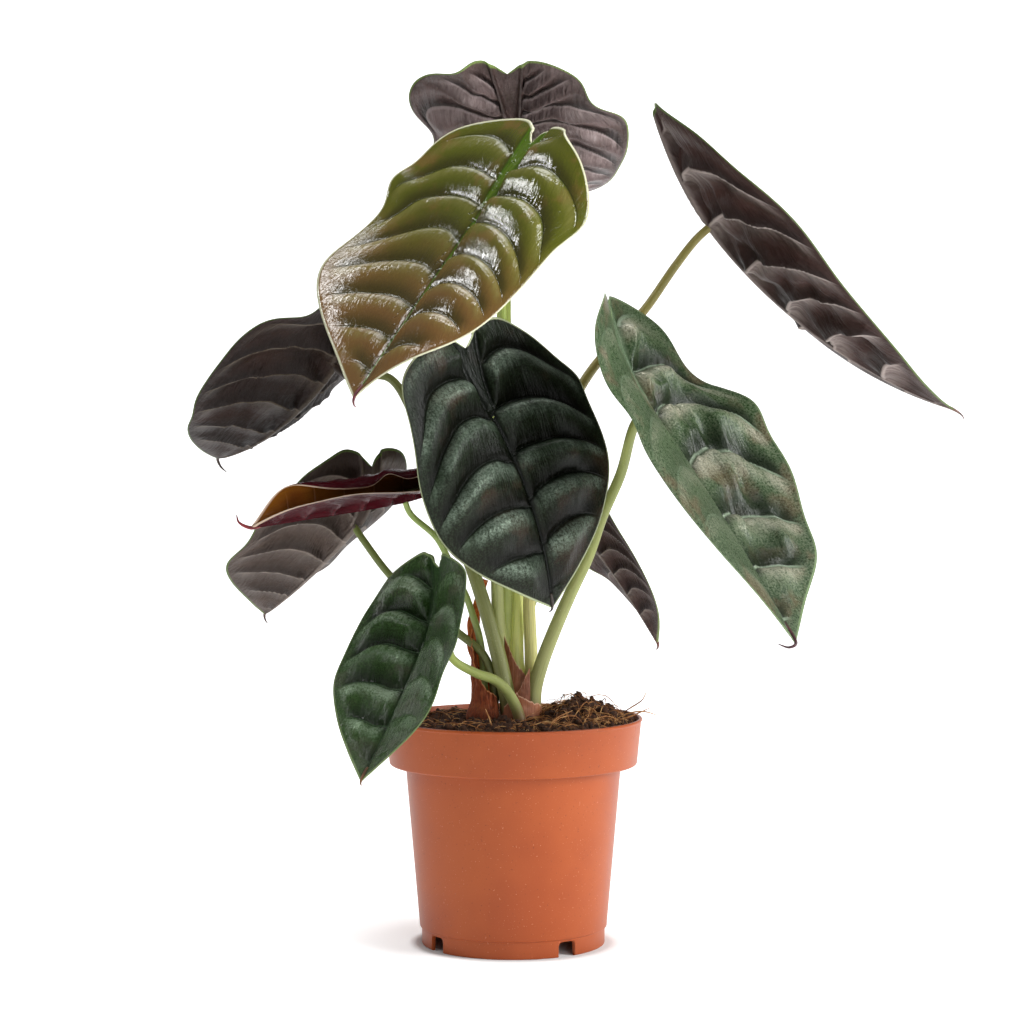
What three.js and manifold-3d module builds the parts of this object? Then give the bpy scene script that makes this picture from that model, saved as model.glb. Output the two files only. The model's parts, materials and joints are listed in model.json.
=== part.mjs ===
import * as THREE from 'three';
import { mergeVertices } from 'three/addons/utils/BufferGeometryUtils.js';
import Module from 'manifold-3d';

// Potted alocasia with quilted dark shield leaves on pale stalks, two shoots in a 12 cm nursery pot.
// Millimetres, +Z up, the foot of the pot on z = 0 and the side seen in the photograph toward -Y.

const wasm = await Module();
wasm.setup();

// Pieces that touch on the plant keep this gap.
const GAP = 0.3;
// Slivers thinner than this are merged away after one piece is cut clear of another.
const CUT_TOLERANCE = 0.02;
// Stalks and sheaths go down to this height inside the soil.
const ROOT_Z = 92;

// Thin moulded plastic nursery pot, known by its 12 cm rim.
const POT = {
  rimRadius: 60,
  height: 105.5,
  lip: 1.4,
  lipHeight: 1.2,
  lipOut: 0.4,
  bandBottomRadius: 57.6,
  bandBottom: 83.9,
  bodyTopRadius: 50.2,
  bodyBottomRadius: 43.6,
  bodyBottom: 8.1,
  footRadius: 42.7,
  footWall: 1.8,
  wall: 1.2,
  floor: 1.4,
  notchWidth: 9,
  notchHeight: 7,
  notchCorner: 2,
  notchAngle: -55,
  drainRadius: 4,
  drainPlace: 31,
  sides: 48,
};

// Peat, a little under the rim, heaped up on the right.
const SOIL = {
  top: 103.4,
  frontRise: 1.6,
  mound: { x: 33, y: 6, height: 11.2, spread: 17 },
  lumps: [0.6, 0.4],
  rings: 7,
};

// Every blade: thickness, the rib below and how much of it is left at the tip, how far the panels
// between the veins bulge in blade widths, how many panels there are on each side, and where along
// the blade the stalk meets it.
const BLADE = { thick: 0.8, rib: 1.4, ribAtTip: 0.3, quilt: 0.03, panels: 10, stalkPlace: 0.3 };
// The drawn-out end of a blade's tip.
const TAIL = { from: 0.93, radius: [0.75, 0.4], bow: 0.25 };

// Half outline of a flat blade at even steps from the notch between its base lobes to its tip:
// edge distance from the midrib in half widths, then edge and midrib places in blade lengths.
const OUTLINE = [
  [0, 0.07, 0.07],
  [0.24, 0.01, 0.13],
  [0.54, 0.02, 0.19],
  [0.82, 0.1, 0.245],
  [0.97, 0.23, 0.3],
  [1, 0.37, 0.37],
  [0.96, 0.51, 0.45],
  [0.85, 0.645, 0.545],
  [0.64, 0.775, 0.655],
  [0.34, 0.89, 0.79],
  [0, 1, 1],
];

// One entry a leaf. at is where the stalk meets the midrib; head, pitch and roll turn the blade
// (head 0 is +X and 90 is +Y); droop bends the midrib toward the tip and toward the notch, sweep
// bends it sideways, twist turns it; fold, cup and curl lift the left and right halves; a wave is
// [side, place along the edge, spread, outward, upward]; tail is the drawn-out end of the tip.
// The stalk runs up through its route from the soil and is [base, top] in radius.
const LEAVES = [
  {
    name: 'upper_left',
    at: [-84, 5, 270],
    head: 129, pitch: -39, roll: -7,
    long: 169, wide: 111,
    droop: [-31, -10], sweep: -9, twist: 5,
    fold: [4, 14], cup: [21, 18], curl: [0, 0],
    waves: [[1, 0.28, 0.05, -3, -5.5], [1, 0.69, 0.05, -1.5, -1], [-1, 0.72, 0.08, -1, 3]],
    tail: [4.5, 0, -7],
    stalk: [4.3, 2.2],
    route: [
      [-2, 0, 108], [-4, 0, 120.5], [-7, 0, 134.5], [-11.5, 0, 151], [-16.5, 0, 167], [-24, 0, 188],
      [-30, 0, 206.5], [-38, 0, 225], [-47, 1, 247.5], [-58, 2, 263.5],
    ],
    color: 0x2b1f24, stalkColor: 0x8c9552,
  },
  {
    name: 'mid_right',
    at: [61, -40.5, 249.5],
    head: -31, pitch: -51, roll: -12,
    long: 191, wide: 98,
    droop: [3, 32], sweep: -20, twist: 13,
    fold: [8, 14], cup: [44, -31], curl: [0, 0],
    waves: [
      [1, 0.15, 0.11, -4, -8], [1, 0.39, 0.07, -2, -3], [1, 0.5, 0.05, 3.5, 4.5], [1, 0.62, 0.1, 3.5, 3.5],
      [1, 0.8, 0.07, 4, 4], [-1, 0.21, 0.08, -1, 2.5], [-1, 0.51, 0.05, -1, 2],
    ],
    tail: [-7.5, 0, 0],
    stalk: [3.7, 2.2],
    route: [
      [9.5, 2, 107.5], [10, 2, 118], [13, 1, 129.5], [18.5, -1, 144.5], [26.5, -5, 163.5], [34.5, -9, 181],
      [41, -14, 200], [49, -20, 219],
    ],
    color: 0x4a5f4c, stalkColor: 0xa9b378,
  },
  {
    name: 'low_front',
    at: [-36.5, -69.5, 154],
    head: -134, pitch: -61, roll: 12,
    long: 113, wide: 73,
    droop: [-11, 36], sweep: 8, twist: -21,
    fold: [20, 17], cup: [-22, 13], curl: [0, 0],
    waves: [
      [1, 0.27, 0.07, 1.5, -3.5], [1, 0.46, 0.08, -1, 1.5], [1, 0.63, 0.09, -2, 2.5],
      [-1, 0.18, 0.08, -3, -3], [-1, 0.69, 0.08, 1, 1],
    ],
    tail: [0.5, 0, -1.5],
    stalk: [3, 1.5],
    route: [[3.5, -10.5, 103], [1.5, -11.5, 110.5], [-2.5, -15, 118.5], [-8, -21, 124.5], [-17.5, -33, 129.5],
      [-27, -48, 137]],
    color: 0x33473a, stalkColor: 0x9db36a,
  },
  {
    name: 'centre',
    at: [-9.5, -60.5, 247],
    head: -14, pitch: -60, roll: 37,
    long: 136, wide: 104,
    droop: [42, 27], sweep: 4, twist: 11,
    fold: [-2, 10], cup: [6, -32], curl: [0, 0],
    waves: [
      [1, 0.26, 0.09, -2, -2], [1, 0.45, 0.05, 1.5, 1.5], [1, 0.67, 0.09, 1, 1],
      [-1, 0.17, 0.06, -0.5, 2], [-1, 0.41, 0.1, -5, 3.5], [-1, 0.71, 0.13, 4, -0.5],
    ],
    tail: [-1.5, 0, -1.5],
    stalk: [3.7, 2],
    route: [[-2.5, 7.6, 112.5], [-4.2, 7.4, 129], [-6.5, 6.5, 145.5], [-7.5, 3, 164], [-8, -6, 188.5],
      [-10, -20, 212]],
    color: 0x2c352d, stalkColor: 0xa3b264,
  },
  {
    name: 'high_right',
    at: [91.5, -12.5, 333.5],
    head: 12, pitch: -52, roll: 7,
    long: 210, wide: 101,
    droop: [-32, 20], sweep: 2, twist: -13,
    fold: [7, -2], cup: [4, 43], curl: [0, 0],
    waves: [[1, 0.49, 0.04, 0, -3.5], [-1, 0.2, 0.08, -1.5, -3.5], [-1, 0.5, 0.12, 2.5, 3.5]],
    tail: [6, 0, -7],
    stalk: [3.3, 1.9],
    route: [
      [8.3, 9, 112.5], [8.3, 9.5, 133.5], [7.5, 9.5, 159.5], [9, 9, 178], [14, 8, 211], [22, 6, 239],
      [33.5, 6, 262.5], [46, 5, 278.5], [61, 1, 294.5], [76.5, -5, 312],
    ],
    color: 0x3a2a2e, stalkColor: 0x96914f,
  },
  {
    name: 'top_back',
    at: [0.5, 62, 385],
    head: 83, pitch: -36, roll: 0,
    long: 163, wide: 100,
    droop: [-44, 2], sweep: -3, twist: -7,
    fold: [-5, 3], cup: [11, -7], curl: [0, 0],
    waves: [
      [1, 0.19, 0.06, -4, -10.5], [1, 0.34, 0.08, 4, 1], [1, 0.49, 0.07, -9, 3], [-1, 0.2, 0.11, -2, -4],
      [-1, 0.34, 0.06, -5, -5.5], [-1, 0.44, 0.06, 3, 3], [-1, 0.52, 0.09, 4, 1],
    ],
    tail: [0, 4, -5],
    stalk: [3.7, 2],
    route: [
      [2.7, 12.2, 112], [1.5, 14, 135.5], [2, 17, 159], [0, 22, 206], [-2.5, 28, 253], [-3.5, 35, 295],
      [-2.5, 45, 334.5],
    ],
    color: 0x55474b, stalkColor: 0xaec46c,
  },
  {
    name: 'top_front',
    at: [-13, -56.5, 337.5],
    head: -153, pitch: -52, roll: 0,
    long: 162, wide: 98,
    droop: [-5, 1], sweep: 21, twist: -4,
    fold: [7, 14], cup: [-72, 28], curl: [0, 0],
    waves: [
      [1, 0.21, 0.04, -4, 2.5], [1, 0.38, 0.08, 4, -4], [1, 0.78, 0.1, 0.5, -2.5],
      [-1, 0.18, 0.08, -0.5, -3], [-1, 0.35, 0.08, 2, 2.5], [-1, 0.46, 0.04, 3, 3], [-1, 0.71, 0.12, 8, 8.5],
    ],
    tail: [1, 0, -3.5],
    stalk: [3, 2],
    route: [
      [-3.2, 14.4, 112], [-3.2, 14.6, 140], [-3.2, 13, 163.5], [-4, 7, 206.5], [-5, -2, 253],
      [-5.5, -14, 293.5], [-7, -30, 318],
    ],
    color: 0x5b5a26, stalkColor: 0x9bb45c,
  },
  {
    name: 'small_right',
    at: [36.5, 41, 190],
    head: 37, pitch: -48, roll: 9,
    long: 101, wide: 57,
    droop: [9, 21], sweep: -2, twist: 9,
    fold: [17, 15], cup: [-33, -22], curl: [0, 0],
    waves: [[1, 0.65, 0.05, 2, -3]],
    tail: [-1, 0, -3],
    stalk: [1.9, 1.4],
    route: [[8.5, 15.6, 111.5], [8.5, 16.5, 135], [8.5, 18, 154], [12.5, 23, 164], [20, 29, 173]],
    color: 0x4a3438, stalkColor: 0xa3b264,
  },
  {
    name: 'mid_left',
    at: [-75.5, 17, 194.5],
    head: 132, pitch: -38, roll: -8,
    long: 140, wide: 80,
    droop: [-15, 62], sweep: -15, twist: -8,
    fold: [28, 22], cup: [-5, -17], curl: [0, 0],
    waves: [
      [1, 0.21, 0.09, -4, -2.5], [1, 0.51, 0.07, 2, 1.5], [1, 0.73, 0.11, 7.5, 3],
      [-1, 0.19, 0.07, 2.5, -2.5], [-1, 0.38, 0.08, -2, 2.5], [-1, 0.79, 0.06, -0.5, -3.5],
    ],
    tail: [1.5, 0, -4.5],
    stalk: [2.2, 1.7],
    route: [
      [-9, 3, 107.5], [-8.8, 3.5, 117.5], [-11, 4, 128], [-15.5, 5, 136], [-25, 7, 143.5], [-41.5, 9, 157],
      [-57, 11, 170],
    ],
    color: 0x554a4d, stalkColor: 0x7f8c4e,
  },
  {
    name: 'young_left',
    at: [-50.5, -14, 209],
    head: 187, pitch: -12, roll: -29,
    long: 102, wide: 57,
    droop: [2, 11], sweep: -5, twist: 19,
    fold: [37, 80], cup: [-7, 82], curl: [5, 107],
    waves: [[1, 0.6, 0.1, 0, 1.5], [-1, 0.36, 0.09, -1.5, 2], [-1, 0.49, 0.04, -3, 4.5],
      [-1, 0.83, 0.12, 4.5, 8]],
    tail: [-6.5, 0, 6],
    stalk: [1.9, 1.4],
    route: [
      [-13.5, 8.8, 113], [-14.2, 8.8, 129.5], [-16, 8.5, 142.5], [-19, 7, 152.5], [-22, 5, 161.5],
      [-26, 2, 169.5], [-31, -2, 181], [-36, -6, 190],
    ],
    color: 0x5a2a2a, stalkColor: 0xa4bc62,
  },
];

// Papery and fleshy sheaths round the foot of the two shoots: curved sheets round an upright
// axis, from one angle to another, with the height of the torn top edge at even steps.
const SHEATHS = [
  {
    name: 'sheath_collar_right', centre: [3.3, 3], radius: [10.3, 9.7], from: -160, to: 15, base: 96,
    tops: [108, 112, 117.5, 114.5, 112, 110.5, 108], color: 0xa8705e,
  },
  {
    name: 'sheath_wing_right', centre: [3.6, 4], radius: [8.9, 8.6], from: -118, to: -62, base: 104,
    tops: [116, 118, 123, 128.5], color: 0x6b3a3a,
  },
  {
    name: 'sheath_fleshy_right', centre: [2, 10.5], radius: [9.2, 8.6], from: -140, to: -52, base: 106,
    tops: [144, 138, 131, 126, 122], color: 0x9c6a66,
  },
  {
    name: 'sheath_dry_left', centre: [-12.3, 4.8], radius: [6.6, 7.2], from: 95, to: 305, base: 96,
    tops: [121, 130, 147, 136, 124, 118, 115], color: 0x7a3b30,
  },
];
const SHEATH_WALL = 0.8;

// A dried, crinkled sheath left standing between the stalks of the left shoot.
const DRY_STRIP = {
  name: 'sheath_dry_strip',
  route: [
    [-10.1, 10, 96], [-10.2, 10, 118], [-11.2, 9.8, 132], [-13, 8.5, 142], [-14, 7, 153], [-13, 6.6, 168],
  ],
  wide: [2.8, 5.2, 2.6],
  thick: 0.8,
  crinkle: 0.5,
  steps: 16,
  color: 0xb3662c,
};

// The short brown stump of the left shoot, inside its dry sheath.
const STUMP = { name: 'stump_left', centre: [-12.8, 2.2], radius: [3.4, 2.4], top: 117, color: 0x5d3a2a };

const radians = THREE.MathUtils.degToRad;
const mix = THREE.MathUtils.lerp;

// Value at t in 0..1 of a list of numbers spread evenly.
function along(values, t) {
  const place = THREE.MathUtils.clamp(t, 0, 1) * (values.length - 1);
  const i = Math.min(Math.floor(place), values.length - 2);
  return mix(values[i], values[i + 1], place - i);
}

// Solids

function toSolid(geometry) {
  const bare = new THREE.BufferGeometry();
  bare.setAttribute('position', geometry.attributes.position);
  if (geometry.index) bare.setIndex(geometry.index);
  const merged = mergeVertices(bare, 1e-4);
  const index = merged.index.array;
  const triangles = [];
  for (let i = 0; i < index.length; i += 3) {
    const [a, b, c] = [index[i], index[i + 1], index[i + 2]];
    if (a !== b && b !== c && c !== a) triangles.push(a, b, c);
  }
  const mesh = new wasm.Mesh({
    numProp: 3,
    vertProperties: new Float32Array(merged.attributes.position.array),
    triVerts: new Uint32Array(triangles),
  });
  return new wasm.Manifold(mesh);
}

function toGeometry(solid) {
  const mesh = solid.getMesh();
  const geometry = new THREE.BufferGeometry();
  geometry.setAttribute('position', new THREE.BufferAttribute(mesh.vertProperties, 3));
  geometry.setIndex(new THREE.BufferAttribute(mesh.triVerts, 1));
  geometry.computeVertexNormals();
  return geometry;
}

// Closed solid through rings of points, each with the same count, closed at both ends by a fan.
function ringSolid(rings) {
  const count = rings[0].length;
  const points = rings.flat();
  const index = [];
  for (let r = 0; r < rings.length - 1; r += 1) {
    for (let i = 0; i < count; i += 1) {
      const a = r * count + i;
      const b = r * count + ((i + 1) % count);
      index.push(a, b, b + count, a, b + count, a + count);
    }
  }
  for (const [ring, flip] of [[0, true], [rings.length - 1, false]]) {
    const middle = new THREE.Vector3();
    for (const point of rings[ring]) middle.addScaledVector(point, 1 / count);
    points.push(middle);
    for (let i = 0; i < count; i += 1) {
      const a = ring * count + i;
      const b = ring * count + ((i + 1) % count);
      index.push(...(flip ? [points.length - 1, b, a] : [points.length - 1, a, b]));
    }
  }
  const geometry = new THREE.BufferGeometry().setFromPoints(points);
  geometry.setIndex(index);
  return toSolid(geometry);
}

// Closed sheet from an upper and a lower grid of points, split alike on both faces.
function sheetSolid(upper, lower) {
  const rows = upper.length;
  const columns = upper[0].length;
  const points = [...upper.flat(), ...lower.flat()];
  const below = rows * columns;
  const index = [];
  const quad = (a, b, c, d) => index.push(a, b, c, a, c, d);
  for (let r = 0; r < rows - 1; r += 1) {
    for (let c = 0; c < columns - 1; c += 1) {
      const a = r * columns + c;
      const [b, d, e] = [a + 1, a + columns, a + columns + 1];
      index.push(a, d, e, a, e, b);
      index.push(below + a, below + e, below + d, below + a, below + b, below + e);
    }
    const left = r * columns + columns - 1;
    const right = r * columns;
    quad(left, left + columns, below + left + columns, below + left);
    quad(right + columns, right, below + right, below + right + columns);
  }
  for (let c = 0; c < columns - 1; c += 1) {
    const last = (rows - 1) * columns + c;
    quad(c, c + 1, below + c + 1, below + c);
    quad(last + 1, last, below + last, below + last + 1);
  }
  const geometry = new THREE.BufferGeometry().setFromPoints(points);
  geometry.setIndex(index);
  return toSolid(geometry);
}

// Tube along a smooth route; radiusAt gives its radius at t in 0..1.
function tubeSolid(route, radiusAt, steps, sides) {
  const curve = new THREE.CatmullRomCurve3(route, false, 'centripetal');
  const frames = curve.computeFrenetFrames(steps, false);
  const rings = [];
  for (let i = 0; i <= steps; i += 1) {
    const centre = curve.getPointAt(i / steps);
    const ring = [];
    for (let k = 0; k < sides; k += 1) {
      const turn = (2 * Math.PI * k) / sides;
      ring.push(centre.clone()
        .addScaledVector(frames.normals[i], Math.cos(turn) * radiusAt(i / steps))
        .addScaledVector(frames.binormals[i], Math.sin(turn) * radiusAt(i / steps)));
    }
    rings.push(ring);
  }
  return ringSolid(rings);
}

function largest(solid) {
  return solid.decompose().reduce((best, piece) => (piece.volume() > best.volume() ? piece : best));
}

// Pot

function potSolid() {
  const p = POT;
  const floorTop = p.bodyBottom + p.floor;
  const profile = [
    [0, p.bodyBottom],
    [p.footRadius - p.footWall, p.bodyBottom],
    [p.footRadius - p.footWall, 0],
    [p.footRadius, 0],
    [p.footRadius, p.bodyBottom],
    [p.bodyBottomRadius, p.bodyBottom],
    [p.bodyTopRadius, p.bandBottom],
    [p.bandBottomRadius, p.bandBottom],
    [p.rimRadius - p.lipOut, p.height - p.lipHeight - p.lipOut],
    [p.rimRadius, p.height - p.lipHeight],
    [p.rimRadius, p.height],
    [p.rimRadius - p.lip, p.height],
    [p.bandBottomRadius - p.wall, p.bandBottom + p.wall],
    [p.bodyTopRadius - p.wall, p.bandBottom + p.wall],
    [p.bodyBottomRadius - p.wall, floorTop],
    [0, floorTop],
  ].map(([x, y]) => new THREE.Vector2(x, y));
  const lathe = new THREE.LatheGeometry(profile, p.sides).rotateX(Math.PI / 2);
  let pot = toSolid(lathe);
  const drain = toSolid(
    new THREE.CylinderGeometry(p.drainRadius, p.drainRadius, 4 * p.floor, 16).rotateX(Math.PI / 2),
  );
  const half = p.notchWidth / 2;
  const corner = p.notchCorner;
  const arch = new THREE.Shape();
  arch.moveTo(-half, -1);
  arch.lineTo(-half, p.notchHeight - corner);
  arch.absarc(corner - half, p.notchHeight - corner, corner, Math.PI, Math.PI / 2, true);
  arch.absarc(half - corner, p.notchHeight - corner, corner, Math.PI / 2, 0, true);
  arch.lineTo(half, -1);
  const depth = 6 * p.footWall;
  const notch = toSolid(
    new THREE.ExtrudeGeometry(arch, { depth, bevelEnabled: false, curveSegments: 4 })
      .rotateX(Math.PI / 2).translate(0, p.footRadius + depth / 2, 0),
  );
  pot = pot.subtract(drain.translate([0, 0, p.bodyBottom]));
  for (let i = 0; i < 4; i += 1) {
    const angle = p.notchAngle + 90 * i;
    pot = pot.subtract(notch.rotate([0, 0, angle - 90]));
    const [x, y] = [Math.cos(radians(angle)), Math.sin(radians(angle))];
    pot = pot.subtract(drain.translate([p.drainPlace * x, p.drainPlace * y, p.bodyBottom]));
  }
  return pot;
}

// Leaves

const outlinePoints = OUTLINE.map((row) => new THREE.Vector3(...row));
const outlineCurve = new THREE.CatmullRomCurve3(outlinePoints, false, 'catmullrom');
const INTEGRAL_STEPS = 24;

// Place and axes of the midrib at a distance from the stalk, in the blade's own frame.
function midribFrame(leaf, distance) {
  const bend = (d) => {
    const ahead = d / (leaf.long * (1 - BLADE.stalkPlace));
    const behind = d / (leaf.long * BLADE.stalkPlace);
    const droop = d > 0 ? leaf.droop[0] * ahead : -leaf.droop[1] * behind;
    return [radians(droop), radians(leaf.sweep * ahead), radians(leaf.twist * ahead)];
  };
  const place = new THREE.Vector3();
  const forward = (b, g) => (
    new THREE.Vector3(Math.cos(g) * Math.cos(b), Math.sin(g), -Math.cos(g) * Math.sin(b))
  );
  for (let k = 0; k < INTEGRAL_STEPS; k += 1) {
    const [b, g] = bend((distance * (k + 0.5)) / INTEGRAL_STEPS);
    place.addScaledVector(forward(b, g), distance / INTEGRAL_STEPS);
  }
  const [b, g, t] = bend(distance);
  const side = new THREE.Vector3(-Math.sin(g) * Math.cos(b), Math.cos(g), Math.sin(g) * Math.sin(b));
  const up = new THREE.Vector3(Math.sin(b), 0, Math.cos(b));
  const left = side.clone().multiplyScalar(Math.cos(t)).addScaledVector(up, Math.sin(t));
  const normal = up.clone().multiplyScalar(Math.cos(t)).addScaledVector(side, -Math.sin(t));
  return { place, forward: forward(b, g), left, normal };
}

// Turns the blade's own frame into the plant's frame.
function leafPose(leaf) {
  const [h, p, r] = [leaf.head, leaf.pitch, leaf.roll].map(radians);
  const forward = new THREE.Vector3(Math.cos(h) * Math.cos(p), Math.sin(h) * Math.cos(p), Math.sin(p));
  const flat = new THREE.Vector3(-Math.sin(h), Math.cos(h), 0);
  const up = forward.clone().cross(flat);
  const left = flat.clone().multiplyScalar(Math.cos(r)).addScaledVector(up, Math.sin(r));
  const normal = up.clone().multiplyScalar(Math.cos(r)).addScaledVector(flat, -Math.sin(r));
  const pose = new THREE.Matrix4().makeBasis(forward, left, normal);
  return pose.setPosition(...leaf.at);
}

// Middle surface of a blade: s runs from notch to tip, w from -1 at the right edge to 1 at the left.
function bladePoint(leaf, s, w) {
  const side = w < 0 ? 1 : 0;
  const v = Math.abs(w);
  const row = outlineCurve.getPoint(s);
  const halfWide = leaf.wide / 2;
  const edgeOut = row.x * halfWide;
  const edgeAlong = (row.y - BLADE.stalkPlace) * leaf.long;
  const ribAlong = (row.z - BLADE.stalkPlace) * leaf.long;
  let waveOut = 0;
  let waveUp = 0;
  for (const [waveSide, place, spread, out, up] of leaf.waves) {
    if (waveSide !== (side ? -1 : 1)) continue;
    const still = Math.sqrt(Math.max(0, Math.sin(Math.PI * s)));
    const share = still * Math.exp(-(((s - place) / spread) ** 2));
    waveOut += out * share;
    waveUp += up * share;
  }
  const outAt = (q) => edgeOut * q + waveOut * q ** 1.5;
  const [fold, cup, curl] = [leaf.fold[side], leaf.cup[side], leaf.curl[side]];
  const liftAt = (q) => radians(fold + (cup * outAt(q)) / halfWide + curl * q ** 5);
  let across = 0;
  let lift = 0;
  for (let k = 0; k < INTEGRAL_STEPS; k += 1) {
    const [q0, q1] = [(v * k) / INTEGRAL_STEPS, (v * (k + 1)) / INTEGRAL_STEPS];
    const angle = (liftAt(q0) + liftAt(q1)) / 2;
    across += Math.cos(angle) * (outAt(q1) - outAt(q0));
    lift += Math.sin(angle) * (outAt(q1) - outAt(q0));
  }
  const panel = ((1 - Math.cos(2 * Math.PI * BLADE.panels * s)) / 2) * Math.sin(Math.PI * v ** 0.8);
  lift += waveUp * v ** 3 + BLADE.quilt * leaf.wide * panel * Math.sqrt(Math.max(0, row.x));
  const frame = midribFrame(leaf, ribAlong + (edgeAlong - ribAlong) * v ** 1.8);
  return frame.place
    .addScaledVector(frame.left, side ? -across : across)
    .addScaledVector(frame.normal, lift)
    .applyMatrix4(leaf.pose);
}

function bladeNormal(leaf, s, w) {
  const step = 0.012;
  const [s0, s1] = [Math.max(step, s - step), Math.min(1 - step, s + step)];
  const [w0, w1] = [Math.max(-1, w - step), Math.min(1, w + step)];
  const middle = THREE.MathUtils.clamp(s, step, 1 - step);
  const alongEdge = bladePoint(leaf, s1, w).sub(bladePoint(leaf, s0, w));
  const toLeft = bladePoint(leaf, middle, w1).sub(bladePoint(leaf, middle, w0));
  return alongEdge.cross(toLeft).normalize();
}

const BLADE_COLUMNS = [-1, -0.74, -0.38, -0.06, 0, 0.06, 0.38, 0.74, 1];
const BLADE_ROWS = 20;

function bladeSolid(leaf) {
  const upper = [];
  const lower = [];
  for (let r = 0; r <= BLADE_ROWS; r += 1) {
    const s = r / BLADE_ROWS;
    const pole = r === 0 || r === BLADE_ROWS;
    const rib = BLADE.rib * mix(1, BLADE.ribAtTip, s);
    upper.push([]);
    lower.push([]);
    for (const w of BLADE_COLUMNS) {
      const point = bladePoint(leaf, s, pole ? 0 : w);
      const normal = bladeNormal(leaf, s, pole ? 0 : w);
      const below = BLADE.thick / 2 + (w === 0 && !pole ? rib : 0);
      upper[r].push(point.clone().addScaledVector(normal, BLADE.thick / 2));
      lower[r].push(point.clone().addScaledVector(normal, -below));
    }
  }
  const tip = bladePoint(leaf, 1, 0);
  const before = bladePoint(leaf, TAIL.from, 0);
  const ahead = tip.clone().sub(before).normalize();
  const end = tip.clone().add(new THREE.Vector3(...leaf.tail));
  const halfway = tip.clone().lerp(end, 0.5).addScaledVector(ahead, TAIL.bow * tip.distanceTo(end));
  const tail = tubeSolid([before, tip, halfway, end], (t) => mix(...TAIL.radius, t), 4, 5);
  return largest(sheetSolid(upper, lower).add(tail));
}

// Stalks

// The last stretch below the blade, how squarely it meets the blade, the gap left under the rib,
// and how quickly the base of a stalk swells.
const STALK = { neck: 10, upright: 1.5, clear: 0.39, flare: 1.25 };

function stalkSolid(leaf, extra = 0) {
  const normal = new THREE.Vector3().setFromMatrixColumn(leaf.pose, 2);
  const at = new THREE.Vector3(...leaf.at);
  const seat = BLADE.thick / 2 + BLADE.rib * 0.72 + STALK.clear;
  const foot = new THREE.Vector3(...leaf.route[0]).setZ(ROOT_Z);
  const last = new THREE.Vector3(...leaf.route.at(-1));
  const arriving = at.clone().sub(last).normalize().addScaledVector(normal, STALK.upright).normalize();
  const route = [
    foot,
    ...leaf.route.map((point) => new THREE.Vector3(...point)),
    at.clone().addScaledVector(arriving, -STALK.neck),
    at.clone().addScaledVector(normal, -seat),
  ];
  const [base, top] = leaf.stalk;
  const radiusAt = (t) => mix(top, base, (1 - t) ** STALK.flare) + extra;
  return tubeSolid(route, radiusAt, 18, 7);
}

// Sheaths and stump

function sheathSolid(sheath, extra = 0) {
  const columns = 10;
  const rows = 3;
  const half = SHEATH_WALL / 2 + extra;
  const grid = (offset) => {
    const faces = [];
    for (let r = 0; r <= rows; r += 1) {
      faces.push([]);
      for (let c = 0; c <= columns; c += 1) {
        const t = c / columns;
        const angle = radians(mix(sheath.from, sheath.to, t));
        const radius = mix(sheath.radius[0], sheath.radius[1], r / rows) + offset;
        faces[r].push(new THREE.Vector3(
          sheath.centre[0] + radius * Math.cos(angle),
          sheath.centre[1] + radius * Math.sin(angle),
          mix(sheath.base, along(sheath.tops, t) + extra, r / rows),
        ));
      }
    }
    return faces;
  };
  return sheetSolid(grid(-half), grid(half));
}

function stripSolid(strip, extra = 0) {
  const points = strip.route.map((point) => new THREE.Vector3(...point));
  const curve = new THREE.CatmullRomCurve3(points, false, 'centripetal');
  const half = strip.thick / 2 + extra;
  const upper = [];
  const lower = [];
  for (let i = 0; i <= strip.steps; i += 1) {
    const t = i / strip.steps;
    const centre = curve.getPointAt(t);
    const wide = along(strip.wide, t) / 2 + extra;
    upper.push([]);
    lower.push([]);
    for (const c of [-1, 0, 1]) {
      const wave = strip.crinkle * Math.sin(24 * t + 2 * c) * Math.min(1, 4 * t);
      upper[i].push(new THREE.Vector3(centre.x + c * wide, centre.y + wave + half, centre.z));
      lower[i].push(new THREE.Vector3(centre.x + c * wide, centre.y + wave - half, centre.z));
    }
  }
  return sheetSolid(upper, lower);
}

function stumpSolid(extra = 0) {
  const [x, y] = STUMP.centre;
  const route = [ROOT_Z, 100, 108, STUMP.top + extra].map((z) => new THREE.Vector3(x, y, z));
  return tubeSolid(route, (t) => mix(STUMP.radius[0], STUMP.radius[1], t) + extra, 4, 10);
}

// Soil

function soilTop(x, y) {
  const m = SOIL.mound;
  const heap = m.height * Math.exp(-((x - m.x) ** 2 + (y - m.y) ** 2) / m.spread ** 2);
  const front = SOIL.frontRise * THREE.MathUtils.smoothstep(-y, 15, 50);
  const [low, high] = SOIL.lumps;
  const broad = low * Math.sin(0.31 * x + 1.3) * Math.cos(0.27 * y);
  const fine = high * Math.sin(0.83 * x + 0.61 * y);
  return SOIL.top + heap + front + broad + fine;
}

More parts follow.
